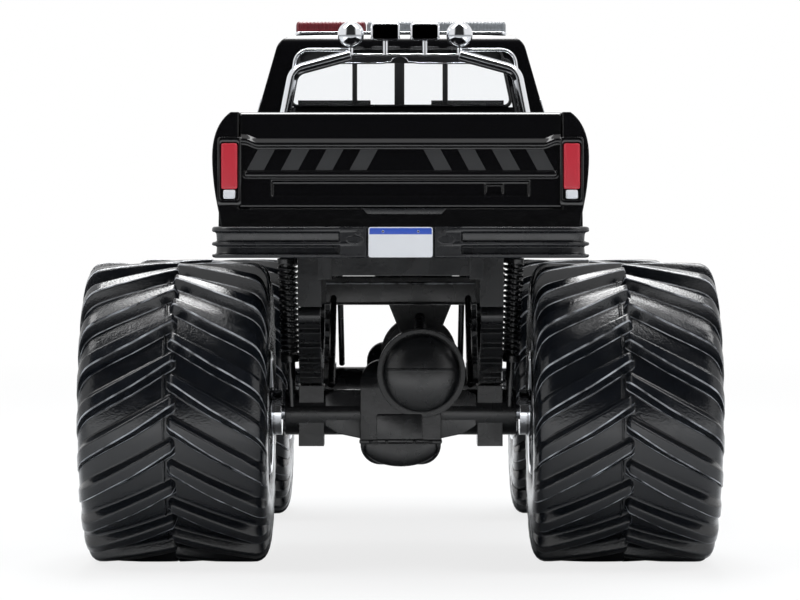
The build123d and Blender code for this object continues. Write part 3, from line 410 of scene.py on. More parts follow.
# Tyres: a smooth carcass with two rows of swept lugs, which meet in a staggered V at the middle
lug_count = 21  # in each half
tyre_radius = 13.1
bead_radius = 5.02
seam_shift = 0.64  # mould line, towards the truck's left from the middle of the tread
lug_phase = (8.0, -0.6)  # a tip's angle above the axle: left half seen from behind, right half
lug_stations = (  # across and radius on top, the same at the floor, upper and lower edge, share of the height
    (-0.36, 13.1, -0.36, 12.2, -0.22, -0.4, 0.0),
    (-0.22, 13.1, -0.22, 12.2, -0.1, -0.56, 0.42),
    (-0.06, 13.1, -0.06, 12.2, 0.02, -0.68, 0.9),
    (0.06, 13.1, 0.06, 12.2, 0.04, -0.76, 1.0),
    (0.3, 13.1, 0.3, 12.2, -0.1, -0.9, 1.0),
    (0.6, 13.1, 0.6, 12.19, -0.28, -1.1, 1.0),
    (1.8, 13.1, 1.8, 12.18, -0.97, -1.93, 1.0),
    (3.3, 13.1, 3.3, 12.16, -1.83, -2.92, 1.0),
    (5.0, 13.1, 5.0, 12.12, -2.8, -3.9, 1.0),
    (6.3, 13.1, 6.3, 12.05, -3.55, -4.68, 1.0),
    (6.85, 13.08, 6.8, 11.99, -3.88, -5.03, 1.0),
    (7.2, 12.96, 7.1, 11.9, -4.12, -5.3, 1.0),
    (7.5, 12.72, 7.4, 11.74, -4.4, -5.62, 1.0),
    (7.72, 12.38, 7.6, 11.54, -4.72, -6.0, 1.0),
    (7.88, 11.95, 7.77, 11.25, -5.1, -6.42, 1.0),
    (7.99, 11.45, 7.9, 10.9, -5.5, -6.86, 1.0),
    (8.05, 10.95, 7.98, 10.55, -5.88, -7.26, 1.0),
    (8.07, 10.4, 8.03, 10.2, -6.2, -7.6, 1.0),
    (8.07, 9.8, 8.055, 9.7, -6.5, -7.9, 0.7),
    (8.07, 9.3, 8.06, 9.3, -6.75, -8.15, 0.0),
)
lower_wall, upper_wall = 0.6, 0.3  # how far the walls spread, along the tread
lug_section = (  # edge (1 is the upper), shares of the wall outwards, inwards on top, share of the depth
    (0, 1.45, 0.0, 1.12), (0, 1.1, 0.0, 1.0), (0, 0.97, 0.0, 0.93), (0, 0.84, 0.0, 0.8), (0, 0.24, 0.0, 0.2),
    (0, 0.1, 0.0, 0.07), (0, 0.0, 0.02, 0.015), (0, 0.0, 0.1, 0.0), (0, 0.0, 0.2, 0.0),
    (1, 0.0, 0.2, 0.0), (1, 0.0, 0.1, 0.0), (1, 0.0, 0.02, 0.015), (1, 0.2, 0.0, 0.08), (1, 0.4, 0.0, 0.22),
    (1, 0.9, 0.0, 0.8), (1, 1.1, 0.0, 0.94), (1, 1.4, 0.0, 1.0), (1, 1.9, 0.0, 1.12),
)
lug_strips = (  # first and last point of the section, finish: the lower edges carry the painted highlight lines
    (0, 1, 0), (1, 2, 1), (2, 5, 0), (5, 7, 1), (7, 17, 0),
)
carcass_half = (  # radius, across
    (12.2, 0.0), (12.19, 0.6), (12.18, 1.8), (12.16, 3.3), (12.12, 5.0), (12.05, 6.3), (11.99, 6.8),
    (11.9, 7.1), (11.74, 7.4), (11.54, 7.6), (11.25, 7.77), (10.9, 7.9), (10.55, 7.98), (10.2, 8.03),
    (9.7, 8.055), (9.0, 8.07), (8.2, 8.03), (7.4, 7.93), (6.8, 7.8), (6.42, 7.68), (6.36, 7.6), (6.2, 7.58),
    (6.12, 7.64), (5.9, 7.7), (5.62, 7.72), (5.56, 7.66), (5.52, 7.5), (bead_radius, 7.48),
)
mould_fin = ((12.0, -0.13), (12.21, -0.09), (12.3, -0.04), (12.3, 0.04), (12.21, 0.09), (12.0, 0.13))
tread_steps = 168

axles = {}
for end in ends:
    low, high = box_of(f"{end}_axle_pin")
    axles[end] = (low + high) / 2
rear_axle = axles["rear"]


def tyre(end, side_name):
    """One tyre, in place of its CAD node."""
    node = f"{end}_tyre_{side_name}"
    low, high = box_of(node)
    centre = Vector((axles[end].x, (low.y + high.y) / 2, low.z + tyre_radius))
    shape = Shape()
    outline = [(radius, -across) for radius, across in reversed(carcass_half)] + list(carcass_half[1:])
    shape.lathe(outline, centre, tread_steps, "y", closed=True)
    for side, tip in zip((1, -1), lug_phase):
        for index in range(lug_count):
            turn = math.radians(tip + index * 360 / lug_count)
            rows = []
            for top_across, top_radius, floor_across, floor_radius, upper, lower, share in lug_stations:
                row = []
                for edge, out, inwards, depth in lug_section:
                    sunk = 1 - share * (1 - depth)
                    run = upper + out * upper_wall - inwards if edge else lower - out * lower_wall + inwards
                    radius = top_radius + (floor_radius - top_radius) * sunk
                    across = top_across + (floor_across - top_across) * sunk
                    angle = turn + run / tyre_radius
                    row.append((
                        centre.x - radius * math.cos(angle),
                        centre.y + side * across,
                        centre.z + radius * math.sin(angle),
                    ))
                rows.append(row)
            for first, last, paint in lug_strips:
                shape.grid([row[first:last + 1] for row in rows], paint)
    shape.lathe(mould_fin, centre + Vector((0, seam_shift, 0)), tread_steps, "y")
    name = f"lugged_tyre_{end}_{side_name}"
    make(shape, name, [tyre_vinyl, vinyl_painted_highlight], [node], f"{end}_wheels", smooth=50)


for end in ends:
    for side_name, _ in sides:
        tyre(end, side_name)

# Rims: plated one-piece wheels with a dished centre, eight round holes and a ring of nuts
hole_count, hole_steps = 8, 12
hole_ring, hole_radius = 2.95, 0.66
dish_depth = 5.2  # from the rim's outer edge
nut_ring = 1.62
pin_bore = 0.68


def rim(end, side_name, side):
    """One rim, in place of its CAD node."""
    node = f"{end}_rim_{side_name}"
    tyre_low, tyre_high = box_of(f"{end}_tyre_{side_name}")
    centre = (tyre_low + tyre_high) / 2
    half_width = (tyre_high.y - tyre_low.y) / 2
    dish = half_width - dish_depth
    face_y = dish - 0.02
    shape = Shape()

    def turned(profile, steps, closed=False):
        sided = [(radius, side * across) for radius, across in profile]
        shape.lathe(sided, centre, steps, "y", closed=closed)

    def spoke_point(angle, out, aside=0.0, depth=0.0):
        return (
            centre.x + out * math.cos(angle) - aside * math.sin(angle),
            centre.y + side * (face_y - depth),
            centre.z + out * math.sin(angle) + aside * math.cos(angle),
        )

    turned([
        (5.5, half_width - 0.42), (5.46, half_width - 0.1), (5.3, half_width), (5.05, half_width - 0.02),
        (4.85, half_width - 0.25), (4.7, half_width - 0.75), (4.62, half_width - 1.3),
        (4.44, half_width - 1.5), (4.4, half_width - 2.0),
        (4.4, dish + 0.5), (4.3, dish + 0.18), (4.1, dish + 0.05),
        (3.85, dish - 0.02), (3.85, dish - 0.9), (4.4, dish - 1.15), (4.4, -half_width + 0.4),
        (4.7, -half_width + 0.06), (5.3, -half_width), (5.48, -half_width + 0.15), (5.48, -half_width + 0.48),
        (5.0, -half_width + 0.55), (5.0, half_width - 0.55), (5.48, half_width - 0.5),
    ], 96, closed=True)
    # the centre: patches that go from a square border, through a soft edge, down into a hole
    for middle in turns(hole_count):
        levels = [[]]
        for turn in turns(hole_steps):
            spoke = middle + math.pi / hole_count * clamped(1.35 * math.sin(turn), -1.0, 1.0)
            levels[0].append(spoke_point(spoke, hole_ring + 0.95 * clamped(1.35 * math.cos(turn), -1.0, 1.0)))
        for size, depth in ((hole_radius + 0.1, 0.0), (hole_radius, 0.08), (hole_radius, 0.9)):
            levels.append([
                spoke_point(middle, hole_ring + size * math.cos(turn), size * math.sin(turn), depth)
                for turn in turns(hole_steps)
            ])
        shape.grid(levels, ring=True)
    # raised hub with its cap and the nuts
    turned([
        (2.02, face_y), (1.95, face_y + 0.3), (1.8, face_y + 0.42), (1.25, face_y + 0.5),
        (1.16, face_y + 0.55), (1.13, face_y + 1.25), (1.0, face_y + 1.5), (0.7, face_y + 1.6),
        (0.0, face_y + 1.62),
    ], 48)
    nut = [(0.2, 0.0), (0.2, side * 0.22), (0.12, side * 0.32), (0.0, side * 0.34)]
    for turn in turns(hole_count):
        shape.lathe(nut, spoke_point(turn + math.pi / hole_count, nut_ring, depth=-0.4), 6, "y")
    # back of the centre, and the hub that goes over the axle pin to the rim's inner end
    rim_low, rim_high = box_of(node)
    hub_end = rim_low.y - centre.y if side > 0 else centre.y - rim_high.y
    turned([(4.4, dish - 1.15), (2.0, dish - 1.2), (2.0, hub_end), (pin_bore, hub_end)], 48)
    make(shape, f"plated_rim_{end}_{side_name}", [plated_chrome], [node], f"{end}_wheels", 30)


for end in ends:
    for side_name, side in sides:
        rim(end, side_name, side)

# Bumpers: a ribbed moulding that wraps round the corners, with a flat pad each side of the plate
pad_out, pad_in = 4.95, 2.75
bumper_section = (  # height above the lower edge, depth of the relief
    (0.0, 0.3), (0.04, 0.12), (0.12, 0.03), (0.24, 0.0), (0.3, 0.05), (0.34, 0.28), (0.42, 0.36), (0.9, 0.4),
    (0.98, 0.3), (1.03, 0.08), (1.1, 0.0), (1.24, 0.0), (1.31, 0.08), (1.36, 0.3), (1.44, 0.4), (1.98, 0.36),
    (2.1, 0.28), (2.16, 0.08), (2.24, 0.0), (2.42, 0.0), (2.52, 0.05), (2.58, 0.16), (2.6, 0.35),
)


def bumper(node, name, heading):
    """A bumper in place of its CAD node; heading is -1 at the back."""
    low, high = box_of(node)
    face_x = low.x if heading < 0 else high.x
    wrap = high.x - low.x
    half = (high.y - low.y) / 2
    ribbed = (  # across, distance behind the face, how far it faces sideways
        (half, wrap, 1.0), (half, 1.35, 1.0), (half - 0.05, 1.0, 0.92), (half - 0.22, 0.72, 0.8),
        (half - 0.5, 0.42, 0.6), (half - 0.95, 0.16, 0.38), (half - 1.55, 0.04, 0.2), (half - 2.2, 0.0, 0.0),
        (pad_out + 0.18, 0.0, 0.0),
    )
    flat = ((pad_out, 0.02), (pad_in + 0.1, 0.02), (pad_in, 0.34))  # across, depth of the pad
    stations = [(*station, True, 0.0) for station in ribbed]
    stations += [(across, 0.0, 0.0, False, sunk) for across, sunk in flat]
    stations += [(-across, behind, -aside, *rest) for across, behind, aside, *rest in reversed(stations)]
    rows = []
    for across, behind, aside, has_ribs, sunk in stations:
        row = []
        for height, relief in bumper_section:
            at_edge = height < 0.05 or height > 2.55
            depth = sunk + (relief if has_ribs or at_edge else 0.0)
            row.append((
                face_x - heading * (behind + depth * math.sqrt(1 - aside * aside)),
                across - aside * depth,
                low.z + height,
            ))
        back_x = face_x - heading * max(behind + 0.02, min(1.7, behind + wrap * 0.55))
        back_y = across - (math.copysign(0.45, across) if abs(aside) > 0.3 else 0.0)
        for corner, lift in ((row[-1], -0.02), (row[0], 0.02)):
            x = back_x if abs(aside) <= 0.5 else corner[0] - heading * 0.02
            row.append((x, back_y, corner[2] + lift))
        rows.append(row)
    shape = Shape()
    shape.tube(rows)
    # an oval boss and a bolt's collar on each pad
    for side in (1, -1):
        middle_y, middle_z = side * ((pad_in + pad_out) / 2 - 0.1), low.z + 1.5
        oval = [(middle_y + 0.72 * math.cos(a), middle_z + 0.33 * math.sin(a)) for a in turns(28)]
        shape.prism(oval, "x", face_x - heading * 0.3, face_x)
        bolt = (face_x, side * (pad_in + 0.75), low.z + 2.05)
        shape.lathe([(0.2, 0.1), (0.2, 0.0), (0.12, 0.0), (0.0, 0.0)], bolt, 12)
    make(shape, name, [bumper_abs], [node], smooth=40)


bumper("rear_bumper", "ribbed_rear_bumper", -1)
bumper("front_bumper", "ribbed_front_bumper", 1)

# Number plate, blank, with a blue band and two bolt holes
plate_low, plate_high = box_of("number_plate")
plate_width, plate_height = plate_high.y - plate_low.y, plate_high.z - plate_low.z
band_height = 0.56
plate = Shape()
plate_outline = rectangle(plate_width, plate_height, (0.0, (plate_low.z + plate_high.z) / 2))
plate.prism(rounded(plate_outline, 0.22), "x", plate_low.x + 0.03, plate_high.x)
band = rectangle(plate_width - 0.12, band_height, (0.0, plate_high.z - 0.06 - band_height / 2))
plate.prism(rounded(band, [0.0, 0.0, 0.16, 0.16]), "x", plate_low.x + 0.01, plate_low.x + 0.05, 1)
for side in (1, -1):
    hole = (plate_low.x + 0.04, side * 1.45, plate_high.z - 0.36)
    plate.lathe([(0.11, 0.0), (0.1, -0.04), (0.0, -0.04)], hole, 14, paint=2)
plate_finishes = [white_ink, blue_ink, black_abs]
make(plate, "blank_number_plate", plate_finishes, ["number_plate"], bevel=0.02)

# Tailgate: a soft-edged casting with an upper ledge, a long bead, a recessed panel and a handle's pocket
gate_low, gate_high = box_of("tailgate")
gate_half = gate_high.y
gate_height = 8.0
gate_ledge = (  # height, depth
    (0.0, 0.62), (0.06, 0.42), (0.16, 0.33), (5.0, 0.36), (5.08, 0.3), (5.14, 0.06), (5.2, 0.03), (5.3, 0.02),
    (5.42, 0.06), (5.82, 0.44), (5.95, 0.5), (7.3, 0.5), (7.65, 0.53), (7.86, 0.66), (7.96, 0.88),
    (gate_height, 1.1),
)
bead_z, bead_half, bead_reach = 2.85, 0.2, 12.75
panel_low, panel_high, panel_half = 1.0, 2.32, 10.72
handle_low, handle_high, handle_from, handle_to = 1.2, 2.05, -8.55, -7.0


def gate_depth(across, height):
    """How far the tailgate's surface lies in front of its rearmost plane."""
    lift = 0.35 * smooth_step(abs(across), gate_half - 1.6, gate_half - 0.4)
    depth = read_off(gate_ledge, height - lift if 4.6 < height < 6.3 else height)
    from_bead = math.hypot(max(0.0, abs(across) - bead_reach), height - bead_z)
    depth -= 0.26 * (1 - smooth_step(from_bead, bead_half - 0.02, bead_half + 0.1))
    in_panel = min(panel_half - abs(across), height - panel_low, panel_high - height)
    depth += 0.24 * smooth_step(in_panel, 0.0, 0.14)
    in_pocket = min(across - handle_from, handle_to - across, height - handle_low, handle_high - height)
    depth += 0.2 * smooth_step(in_pocket, 0.0, 0.12)
    return depth + 0.3 * smooth_step(abs(across), gate_half - 0.12, gate_half)


def on_gate(across, height, proud=0.0):
    """The point of the tailgate's surface at a place across it and a height."""
    return (gate_low.x + gate_depth(across, height) - proud, across, gate_low.z + height)


gate_ys = spread(-gate_half, gate_half, 110)
for side in (1, -1):
    gate_ys += [side * y for y in spread(panel_half - 0.225, panel_half + 0.09, 7)]
    gate_ys += [side * y for y in spread(gate_half - 0.15, gate_half, 5)]
    gate_ys += [side * y for y in spread(gate_half - 1.63, gate_half - 0.3, 19)]
for edge in (handle_from, handle_to):
    gate_ys += spread(edge - 0.15, edge + 0.15, 6)
gate_zs = spread(0.0, gate_height, 100) + spread(5.0, 6.4, 35) + [5.03, 5.1, 5.12, 5.17, 7.9, 7.93, 7.98]
gate_ys, gate_zs = (sorted({round(value, 4) for value in values}) for values in (gate_ys, gate_zs))
gate = Shape()
gate_rows = [[on_gate(across, height) for across in gate_ys] for height in gate_zs]
gate.grid(gate_rows)
gate_rim = (
    gate_rows[0] + [row[-1] for row in gate_rows[1:]] + gate_rows[-1][-2::-1]
    + [row[0] for row in reversed(gate_rows[1:-1])]
)
gate_back = [(gate_high.x, y, z) for _, y, z in gate_rim]
gate.grid([gate_rim, gate_back], ring=True)
gate.add(gate_back, [range(len(gate_back))])
make(gate, "pressed_tailgate", [black_enamel], ["tailgate"], smooth=50)

# Dark grey diagonal stripes printed between the ledge and the bead, laid on the tailgate's surface
stripe_foot, stripe_head = 3.17, 4.93  # above the tailgate's lower edge
stripe_start, stripe_width, stripe_lean, stripe_pitch = 11.35, 1.42, 0.95, 2.84
ink_thickness = 0.012
stripes = Shape()
for side in (1, -1):
    for index in range(4):
        rows = []
        for t in spread(0.0, 1.0, 12):
            inner = stripe_start - index * stripe_pitch - stripe_lean * t
            height = stripe_foot + (stripe_head - stripe_foot) * t
            ys = [side * (inner + stripe_width * share) for share in (1.0, 0.5, 0.0)]
            rows.append([on_gate(y, height, ink_thickness) for y in ys])
        stripes.grid(rows)
make(stripes, "printed_stripes", [grey_ink])

# Rear lamps in their bezels
lamp_low, lamp_high = box_of("tail_lamps")
lamp_x = lamp_high.x
lamp_y = lamp_high.y - 0.685  # the lamps' middle
lamp_mid_z = (lamp_low.z + lamp_high.z) / 2
split_z = lamp_low.z + 0.78  # between the red and the white lamp
for side_name, side in sides:
    centre = (side * lamp_y, lamp_mid_z)
    outer = rounded(rectangle(1.98, 5.7, (side * lamp_y, lamp_mid_z - 0.02)), 0.32)
    inner = rounded(rectangle(1.5, 4.78, centre), 0.22)
    rows = []
    for x, ring, amount in (
        (lamp_x + 0.1, outer, 0.0), (lamp_x - 0.12, outer, 0.0), (lamp_x - 0.2, outer, 0.07),
        (lamp_x - 0.2, inner, -0.06), (lamp_x - 0.14, inner, 0.0), (lamp_x + 0.1, inner, 0.0),
    ):
        rows.append([on_axis("x", x, point) for point in drawn_in(ring, centre, (1 / 1.6, 1 / 0.6), amount)])
    bezel = Shape()
    bezel.grid(rows, ring=True)
    make(bezel, f"lamp_bezel_{side_name}", [black_enamel], smooth=40)
for name, ink, slot, node, width, low_z, high_z in (
    ("red_tail_lamps", red_ink, "lamp_red", "tail_lamps", 1.34, split_z + 0.03, lamp_high.z),
    ("white_reversing_lamps", white_ink, "lamp_white", "reverse_lamps", 1.0, lamp_low.z, split_z - 0.02),
):
    lamps = Shape()
    for side in (1, -1):
        centre = (side * lamp_y, (low_z + high_z) / 2)
        outline = rounded(rectangle(width, high_z - low_z, centre), 0.18)
        levels = ((lamp_x + 0.03, 0.0), (lamp_x - 0.2, 0.0), (lamp_x - 0.27, 0.06), (lamp_x - 0.29, 0.2))
        lamps.stack(outline, "x", centre, (0.67, (high_z - low_z) / 2), levels)
    make(lamps, name, [ink], [node], smooth=50)

# Lamps on the roll bar: two round ones and two rectangular ones, seen from their backs
round_low, round_high = box_of("round_lamps")
lamp_radius = (round_high.z - round_low.z) / 2
round_profile = [
    (0.0, 0.0), (0.35, 0.02), (0.66, 0.09), (0.95, 0.24), (1.14, 0.45), (lamp_radius, 0.75),
    (lamp_radius, 0.98), (lamp_radius - 0.06, 1.08), (lamp_radius - 0.12, 1.1), (lamp_radius - 0.16, 1.04),
    (lamp_radius - 0.3, 1.2), (0.0, 1.3),
]
round_lamps = Shape()
for across in (round_low.y + lamp_radius, round_high.y - lamp_radius):
    round_lamps.lathe(round_profile, (round_low.x, across, round_low.z + lamp_radius), 40)
make(round_lamps, "round_driving_lamps", [plated_chrome], ["round_lamps"], smooth=35)

rect_low, rect_high = box_of("rect_lamps")
rect_width, rect_height = 2.75, rect_high.z - rect_low.z
rect_levels = [
    (rect_low.x + ahead, amount) for ahead, amount in (
        (0.0, 0.16), (0.03, 0.07), (0.14, 0.0), (0.8, 0.0),
        (0.92, 0.04), (0.96, 0.1), (0.9, 0.16), (0.98, 0.22),
    )
]
rect_lamps = Shape()
for across in (rect_low.y + rect_width / 2, rect_high.y - rect_width / 2):
    centre = (across, (rect_high.z + rect_low.z) / 2)
    outline = rounded(rectangle(rect_width, rect_height, centre), 0.3)
    rect_lamps.stack(outline, "x", centre, (rect_width / 2, rect_height / 2), rect_levels)
    dark_back = rounded(rectangle(rect_width - 0.36, rect_height - 0.36, centre), 0.18)
    rect_lamps.prism(dark_back, "x", rect_low.x, rect_low.x + 0.2, 1)
lamp_finishes = [plated_chrome, interior_plastic]
make(rect_lamps, "rectangular_driving_lamps", lamp_finishes, ["rect_lamps"], smooth=35)

# Coil springs over the shock absorbers
coil_wire, coil_pitch, coil_radius = 0.17, 0.47, 0.62
coil_foot, coil_share = 0.345, 0.61  # where the coil starts and how long it is, as shares of the length


def shock(shape, foot, top):
    """Adds one shock absorber: a rod, a body, a collar at each end and the coil."""
    length = (top - foot).length
    ahead = (top - foot).normalized()
    across = ahead.cross(Vector((0, 1, 0))).normalized()
    other = across.cross(ahead)
    for start, end, radius, side_count in (
        (0.0, 0.97, 0.28, 12), (0.42, 0.97, 0.42, 16), (0.3, coil_foot, 0.78, 20), (0.955, 0.99, 0.78, 20),
    ):
        shape.rod([foot + ahead * length * start, foot + ahead * length * end], radius, side_count)
    coil_turns = length * coil_share / coil_pitch
    points = []
    for t in spread(0.0, 1.0, int(coil_turns * 14)):
        a = 2 * math.pi * coil_turns * t
        spoke = (across * math.cos(a) + other * math.sin(a)) * coil_radius
        points.append(foot + ahead * length * (coil_foot + coil_share * t) + spoke)
    shape.rod(points, coil_wire, 6)


shock_top = box_of("shocks")[1].z - 0.12
shocks = Shape()
for axle in axles.values():
    for side in (1, -1):
        for heading in (1, -1):
            foot = Vector((axle.x + heading * 2.45, side * 9.5, axle.z + 0.6))
            shock(shocks, foot, Vector((axle.x + heading * 3.4, side * 9.95, shock_top)))
make(shocks, "coil_over_shocks", [black_abs], ["shocks"], smooth=45)

# Rear axle: a domed gear drum with its mould line, and a differential pan with its flange, neck and bolts
housing_x = box_of("rear_axle_housing")[0].x
drum_y, drum_z, drum_radius = -1.8, rear_axle.z + 3.5, 3.85
drum_dome = [
    (3.32, -0.06), (3.15, -0.2), (2.8, -0.38), (2.2, -0.58), (1.4, -0.74), (0.7, -0.81), (0.0, -0.83),
]
drum_profile = [
    (drum_radius, 3.0), (drum_radius, 0.62), (drum_radius - 0.05, 0.5), (drum_radius - 0.14, 0.42),
    (drum_radius - 0.3, 0.4), (3.46, 0.44), (3.4, 0.34), (3.38, 0.1), *drum_dome,
]
seam_rise, seam_half = 0.34, 3.2
drum = Shape()
drum.lathe(drum_profile, (housing_x, drum_y, drum_z), 72)
drum_seam = []
for across in spread(-seam_half, seam_half, 24):
    bulge = read_off(drum_dome[::-1], math.hypot(across, seam_rise))
    drum_seam.append((housing_x + bulge, drum_y + across, drum_z + seam_rise))
drum.rod(drum_seam, 0.075, 8)
make(drum, "rear_gear_drum_cover", [black_abs], smooth=50)

pan_x, pan_top, pan_half, pan_drop = housing_x + 0.45, 10.55, 3.45, 2.1
pan = Shape()
pan_outline = [
    (pan_half * math.cos(a), pan_top - pan_drop * abs(math.sin(a)) ** 0.9) for a in spread(0.0, -math.pi, 28)
]
pan_levels = (
    (rear_axle.x, 0.0), (pan_x + 0.5, 0.0), (pan_x + 0.2, 0.04), (pan_x, 0.14), (pan_x - 0.12, 0.32),
    (pan_x - 0.16, 0.6),
)
pan.stack(pan_outline, "x", (0.0, pan_top), (1.0, 1.0), pan_levels)
flange = rounded(rectangle(2 * pan_half + 0.3, 0.34, (0.0, pan_top + 0.1)), 0.12, 3)
pan.prism(flange, "x", pan_x - 0.1, rear_axle.x)
neck = rounded(rectangle(4.0, 2.5, (0.1, pan_top + 1.25)), 0.2, 3)
pan.prism(neck, "x", pan_x - 0.06, rear_axle.x)
for across in (-2.6, 2.6, -1.2, 1.2):
    bolt = (pan_x - 0.1, across, pan_top + 0.1)
    pan.lathe([(0.13, 0.05), (0.13, -0.08), (0.07, -0.12), (0.0, -0.12)], bolt, 10)
make(pan, "rear_differential_pan", [black_abs], bevel=0.05, smooth=45)

# Second crossmember, a channel with a rolled lower edge and a rib painted lighter as a painted highlight,
# between the frame rails
crossmember = Shape()
channel = rounded(rectangle(2.3, 2.6, (-12.75, 23.6)), [0.35, 0.35, 0.1, 0.1])
crossmember.prism(channel, "y", -7.0, 7.0)
rib = rounded(rectangle(0.55, 0.14, (-13.875, 24.25)), 0.06, 3)
crossmember.prism(rib, "y", -6.95, 6.95, 1)
make(crossmember, "second_crossmember", [black_abs, vinyl_painted_highlight], smooth=45)

# Tapered castings that carry the axle tubes out to the springs
casting_outline = ((2.2, 10.6), (5.5, 11.3), (6.6, 12.0), (6.6, 14.7), (5.6, 15.1), (2.2, 15.1))
castings = Shape()
for side in (1, -1):
    outline = rounded([(side * y, z) for y, z in casting_outline], 0.25, 3)
    castings.prism(outline, "x", housing_x + 1.3, rear_axle.x)
make(castings, "rear_axle_castings", [black_abs], bevel=0.1, smooth=45)

# Latch plate on the sill under the tailgate
latch_outline = ((-3.8, 30.82), (3.15, 30.82), (2.75, 30.34), (-3.4, 30.34))
latch = Shape()
latch.tube([[(x, y, z - drop) for y, z in latch_outline] for x, drop in ((-40.05, 0.0), (-40.26, 0.04))])
make(latch, "tailgate_latch_plate", [bumper_abs], bevel=0.05)

# Rear window: rubber round the opening, a dark header, three uprights and a plated line with a mirror's foot
window_sill, window_head, header_z = 40.8, 46.3, 44.98
window_mid_z = (window_sill + window_head) / 2
sill_half, head_half = 10.6, 9.5
window_back, window_front = 0.42, 1.08  # the frame stands against the glass
header_half = sill_half + (head_half - sill_half) * (header_z - window_sill) / (window_head - window_sill)
window_corners = [
    (-sill_half, window_sill), (sill_half, window_sill), (head_half, window_head), (-head_half, window_head),
]
rubber_levels = (
    (-0.1, -0.04), (-0.16, 0.02), (-0.16, 0.14), (-0.08, 0.2), (window_front, 0.22), (window_front, -0.04),
)
rubber = Shape()
window_outline = rounded(window_corners, 0.7, 5)
window_reach = (sill_half, window_mid_z - window_sill)
rubber.stack(window_outline, "x", (0.0, window_mid_z), window_reach, rubber_levels, closed=False)
make(rubber, "rear_window_rubber", [black_abs], smooth=50)

uprights = Shape()
header = [
    (0.1 - header_half, header_z), (header_half - 0.1, header_z),
    (head_half - 0.1, window_head - 0.1), (0.1 - head_half, window_head - 0.1),
]
uprights.prism(header, "x", window_back + 0.2, window_front)
upright_height, upright_z = header_z - window_sill, (header_z + window_sill) / 2
for middle, width in ((4.36, 0.42), (0.12, 0.9), (-4.22, 0.46)):
    uprights.prism(rectangle(width, upright_height, (middle, upright_z)), "x", window_back, window_front)
    lip = rectangle(0.12, upright_height, (middle + width / 2 - 0.02, upright_z))
    uprights.prism(lip, "x", window_back - 0.1, window_front)
make(uprights, "rear_window_uprights", [interior_plastic], bevel=0.04)

trim_line = [(window_back, y, header_z) for y in spread(header_half - 0.25, 0.0, 10) if y > 1.2]
mirror_foot = [
    (window_back, 0.12 + 0.78 * math.cos(a), header_z + 0.12 + 0.5 * math.sin(a))
    for a in spread(0.0, math.pi, 10)
]
trim = Shape()
trim.rod(trim_line + mirror_foot + [(x, -y, z) for x, y, z in reversed(trim_line)], 0.1, 8)
make(trim, "rear_window_trim", [plated_chrome], smooth=50)

# Roof light bar: fluted lenses on a thin plated channel with four feet
base_low, base_high = box_of("light_bar_base")
channel_x, channel_half = (base_low.x + base_high.x) / 2, (base_high.x - base_low.x) / 2
channel_reach = base_high.y - 0.05
channel_outline = rounded(rectangle(2 * channel_half, 2 * channel_reach, (channel_x, 0.0)), 0.5, 5)
channel_levels = ((48.08, 0.12), (48.12, 0.04), (48.2, 0.0), (48.36, 0.0), (48.44, 0.05), (48.46, 0.14))
light_channel = Shape()
light_channel.stack(channel_outline, "z", (channel_x, 0.0), (channel_half, channel_reach), channel_levels)
for across in (7.6, 2.6, -2.6, -7.6):
    light_channel.prism(rounded(rectangle(1.9, 0.9, (channel_x, across)), 0.2, 3), "z", base_low.z, 48.14)
make(light_channel, "light_bar_channel", [plated_chrome], ["light_bar_base"], smooth=40)

lens_foot = 48.4
flute_pitch, flute_depth = 0.34, 0.025
lens_end = 0.3  # how far from its ends a lens rounds off


def fluted_lens(node, name, tinted):
    """One end of the light bar, with fine upright flutes and soft ends."""
    low, high = box_of(node)
    middle_x, half = (low.x + high.x) / 2, (high.x - low.x) / 2 - 0.04
    top_half, top_z = half * 0.93, high.z - 0.02
    corners = [(-half, lens_foot), (half, lens_foot), (top_half, top_z), (-top_half, top_z)]
    section = rounded(corners, [0.05, 0.05, 0.34, 0.34], 5)
    rows = []
    for index, across in enumerate(spread(low.y, high.y, int((high.y - low.y) / flute_pitch) * 4)):
        edge = max(0.0, min(across - low.y, high.y - across))
        if edge < lens_end:
            shrink = 0.28 * (1 - math.sqrt(1 - (1 - edge / lens_end) ** 2))
        else:
            shrink = flute_depth * (1 - math.cos(math.pi * index / 2))
        rows.append([
            (middle_x + x * (1 - shrink / half), across, z - (shrink if z > lens_foot + 0.5 else 0.0))
            for x, z in section
        ])
    lens = Shape()
    lens.tube(rows)
    make(lens, name, [tinted], [node], smooth=60)


fluted_lens("light_bar_red_lens", "fluted_red_lens", red_lens)
fluted_lens("light_bar_clear_lens", "fluted_clear_lens", clear_lens)


# Cab sides: shut lines round the doors, handles, corner trims and, in front of the windscreen, wipers
def on_surface(node, start, heading):
    """Where a straight line from a point, in a direction, first meets a CAD node; None if it misses."""
    hit, point, _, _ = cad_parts[node].ray_cast(Vector(start) * MM, Vector(heading))
    return point / MM if hit else None


def on_side(node, x, z, side):
    """The point of a CAD node's side at a place along the truck and a height."""
    return on_surface(node, (x, side * 40, z), (0, -side, 0))


def on_cab_side(places, side):
    """Points of the cab's side at places (x, z); a place that misses it is left out."""
    points = [on_side("cab_body", x, z, side) for x, z in places]
    return [point for point in points if point]


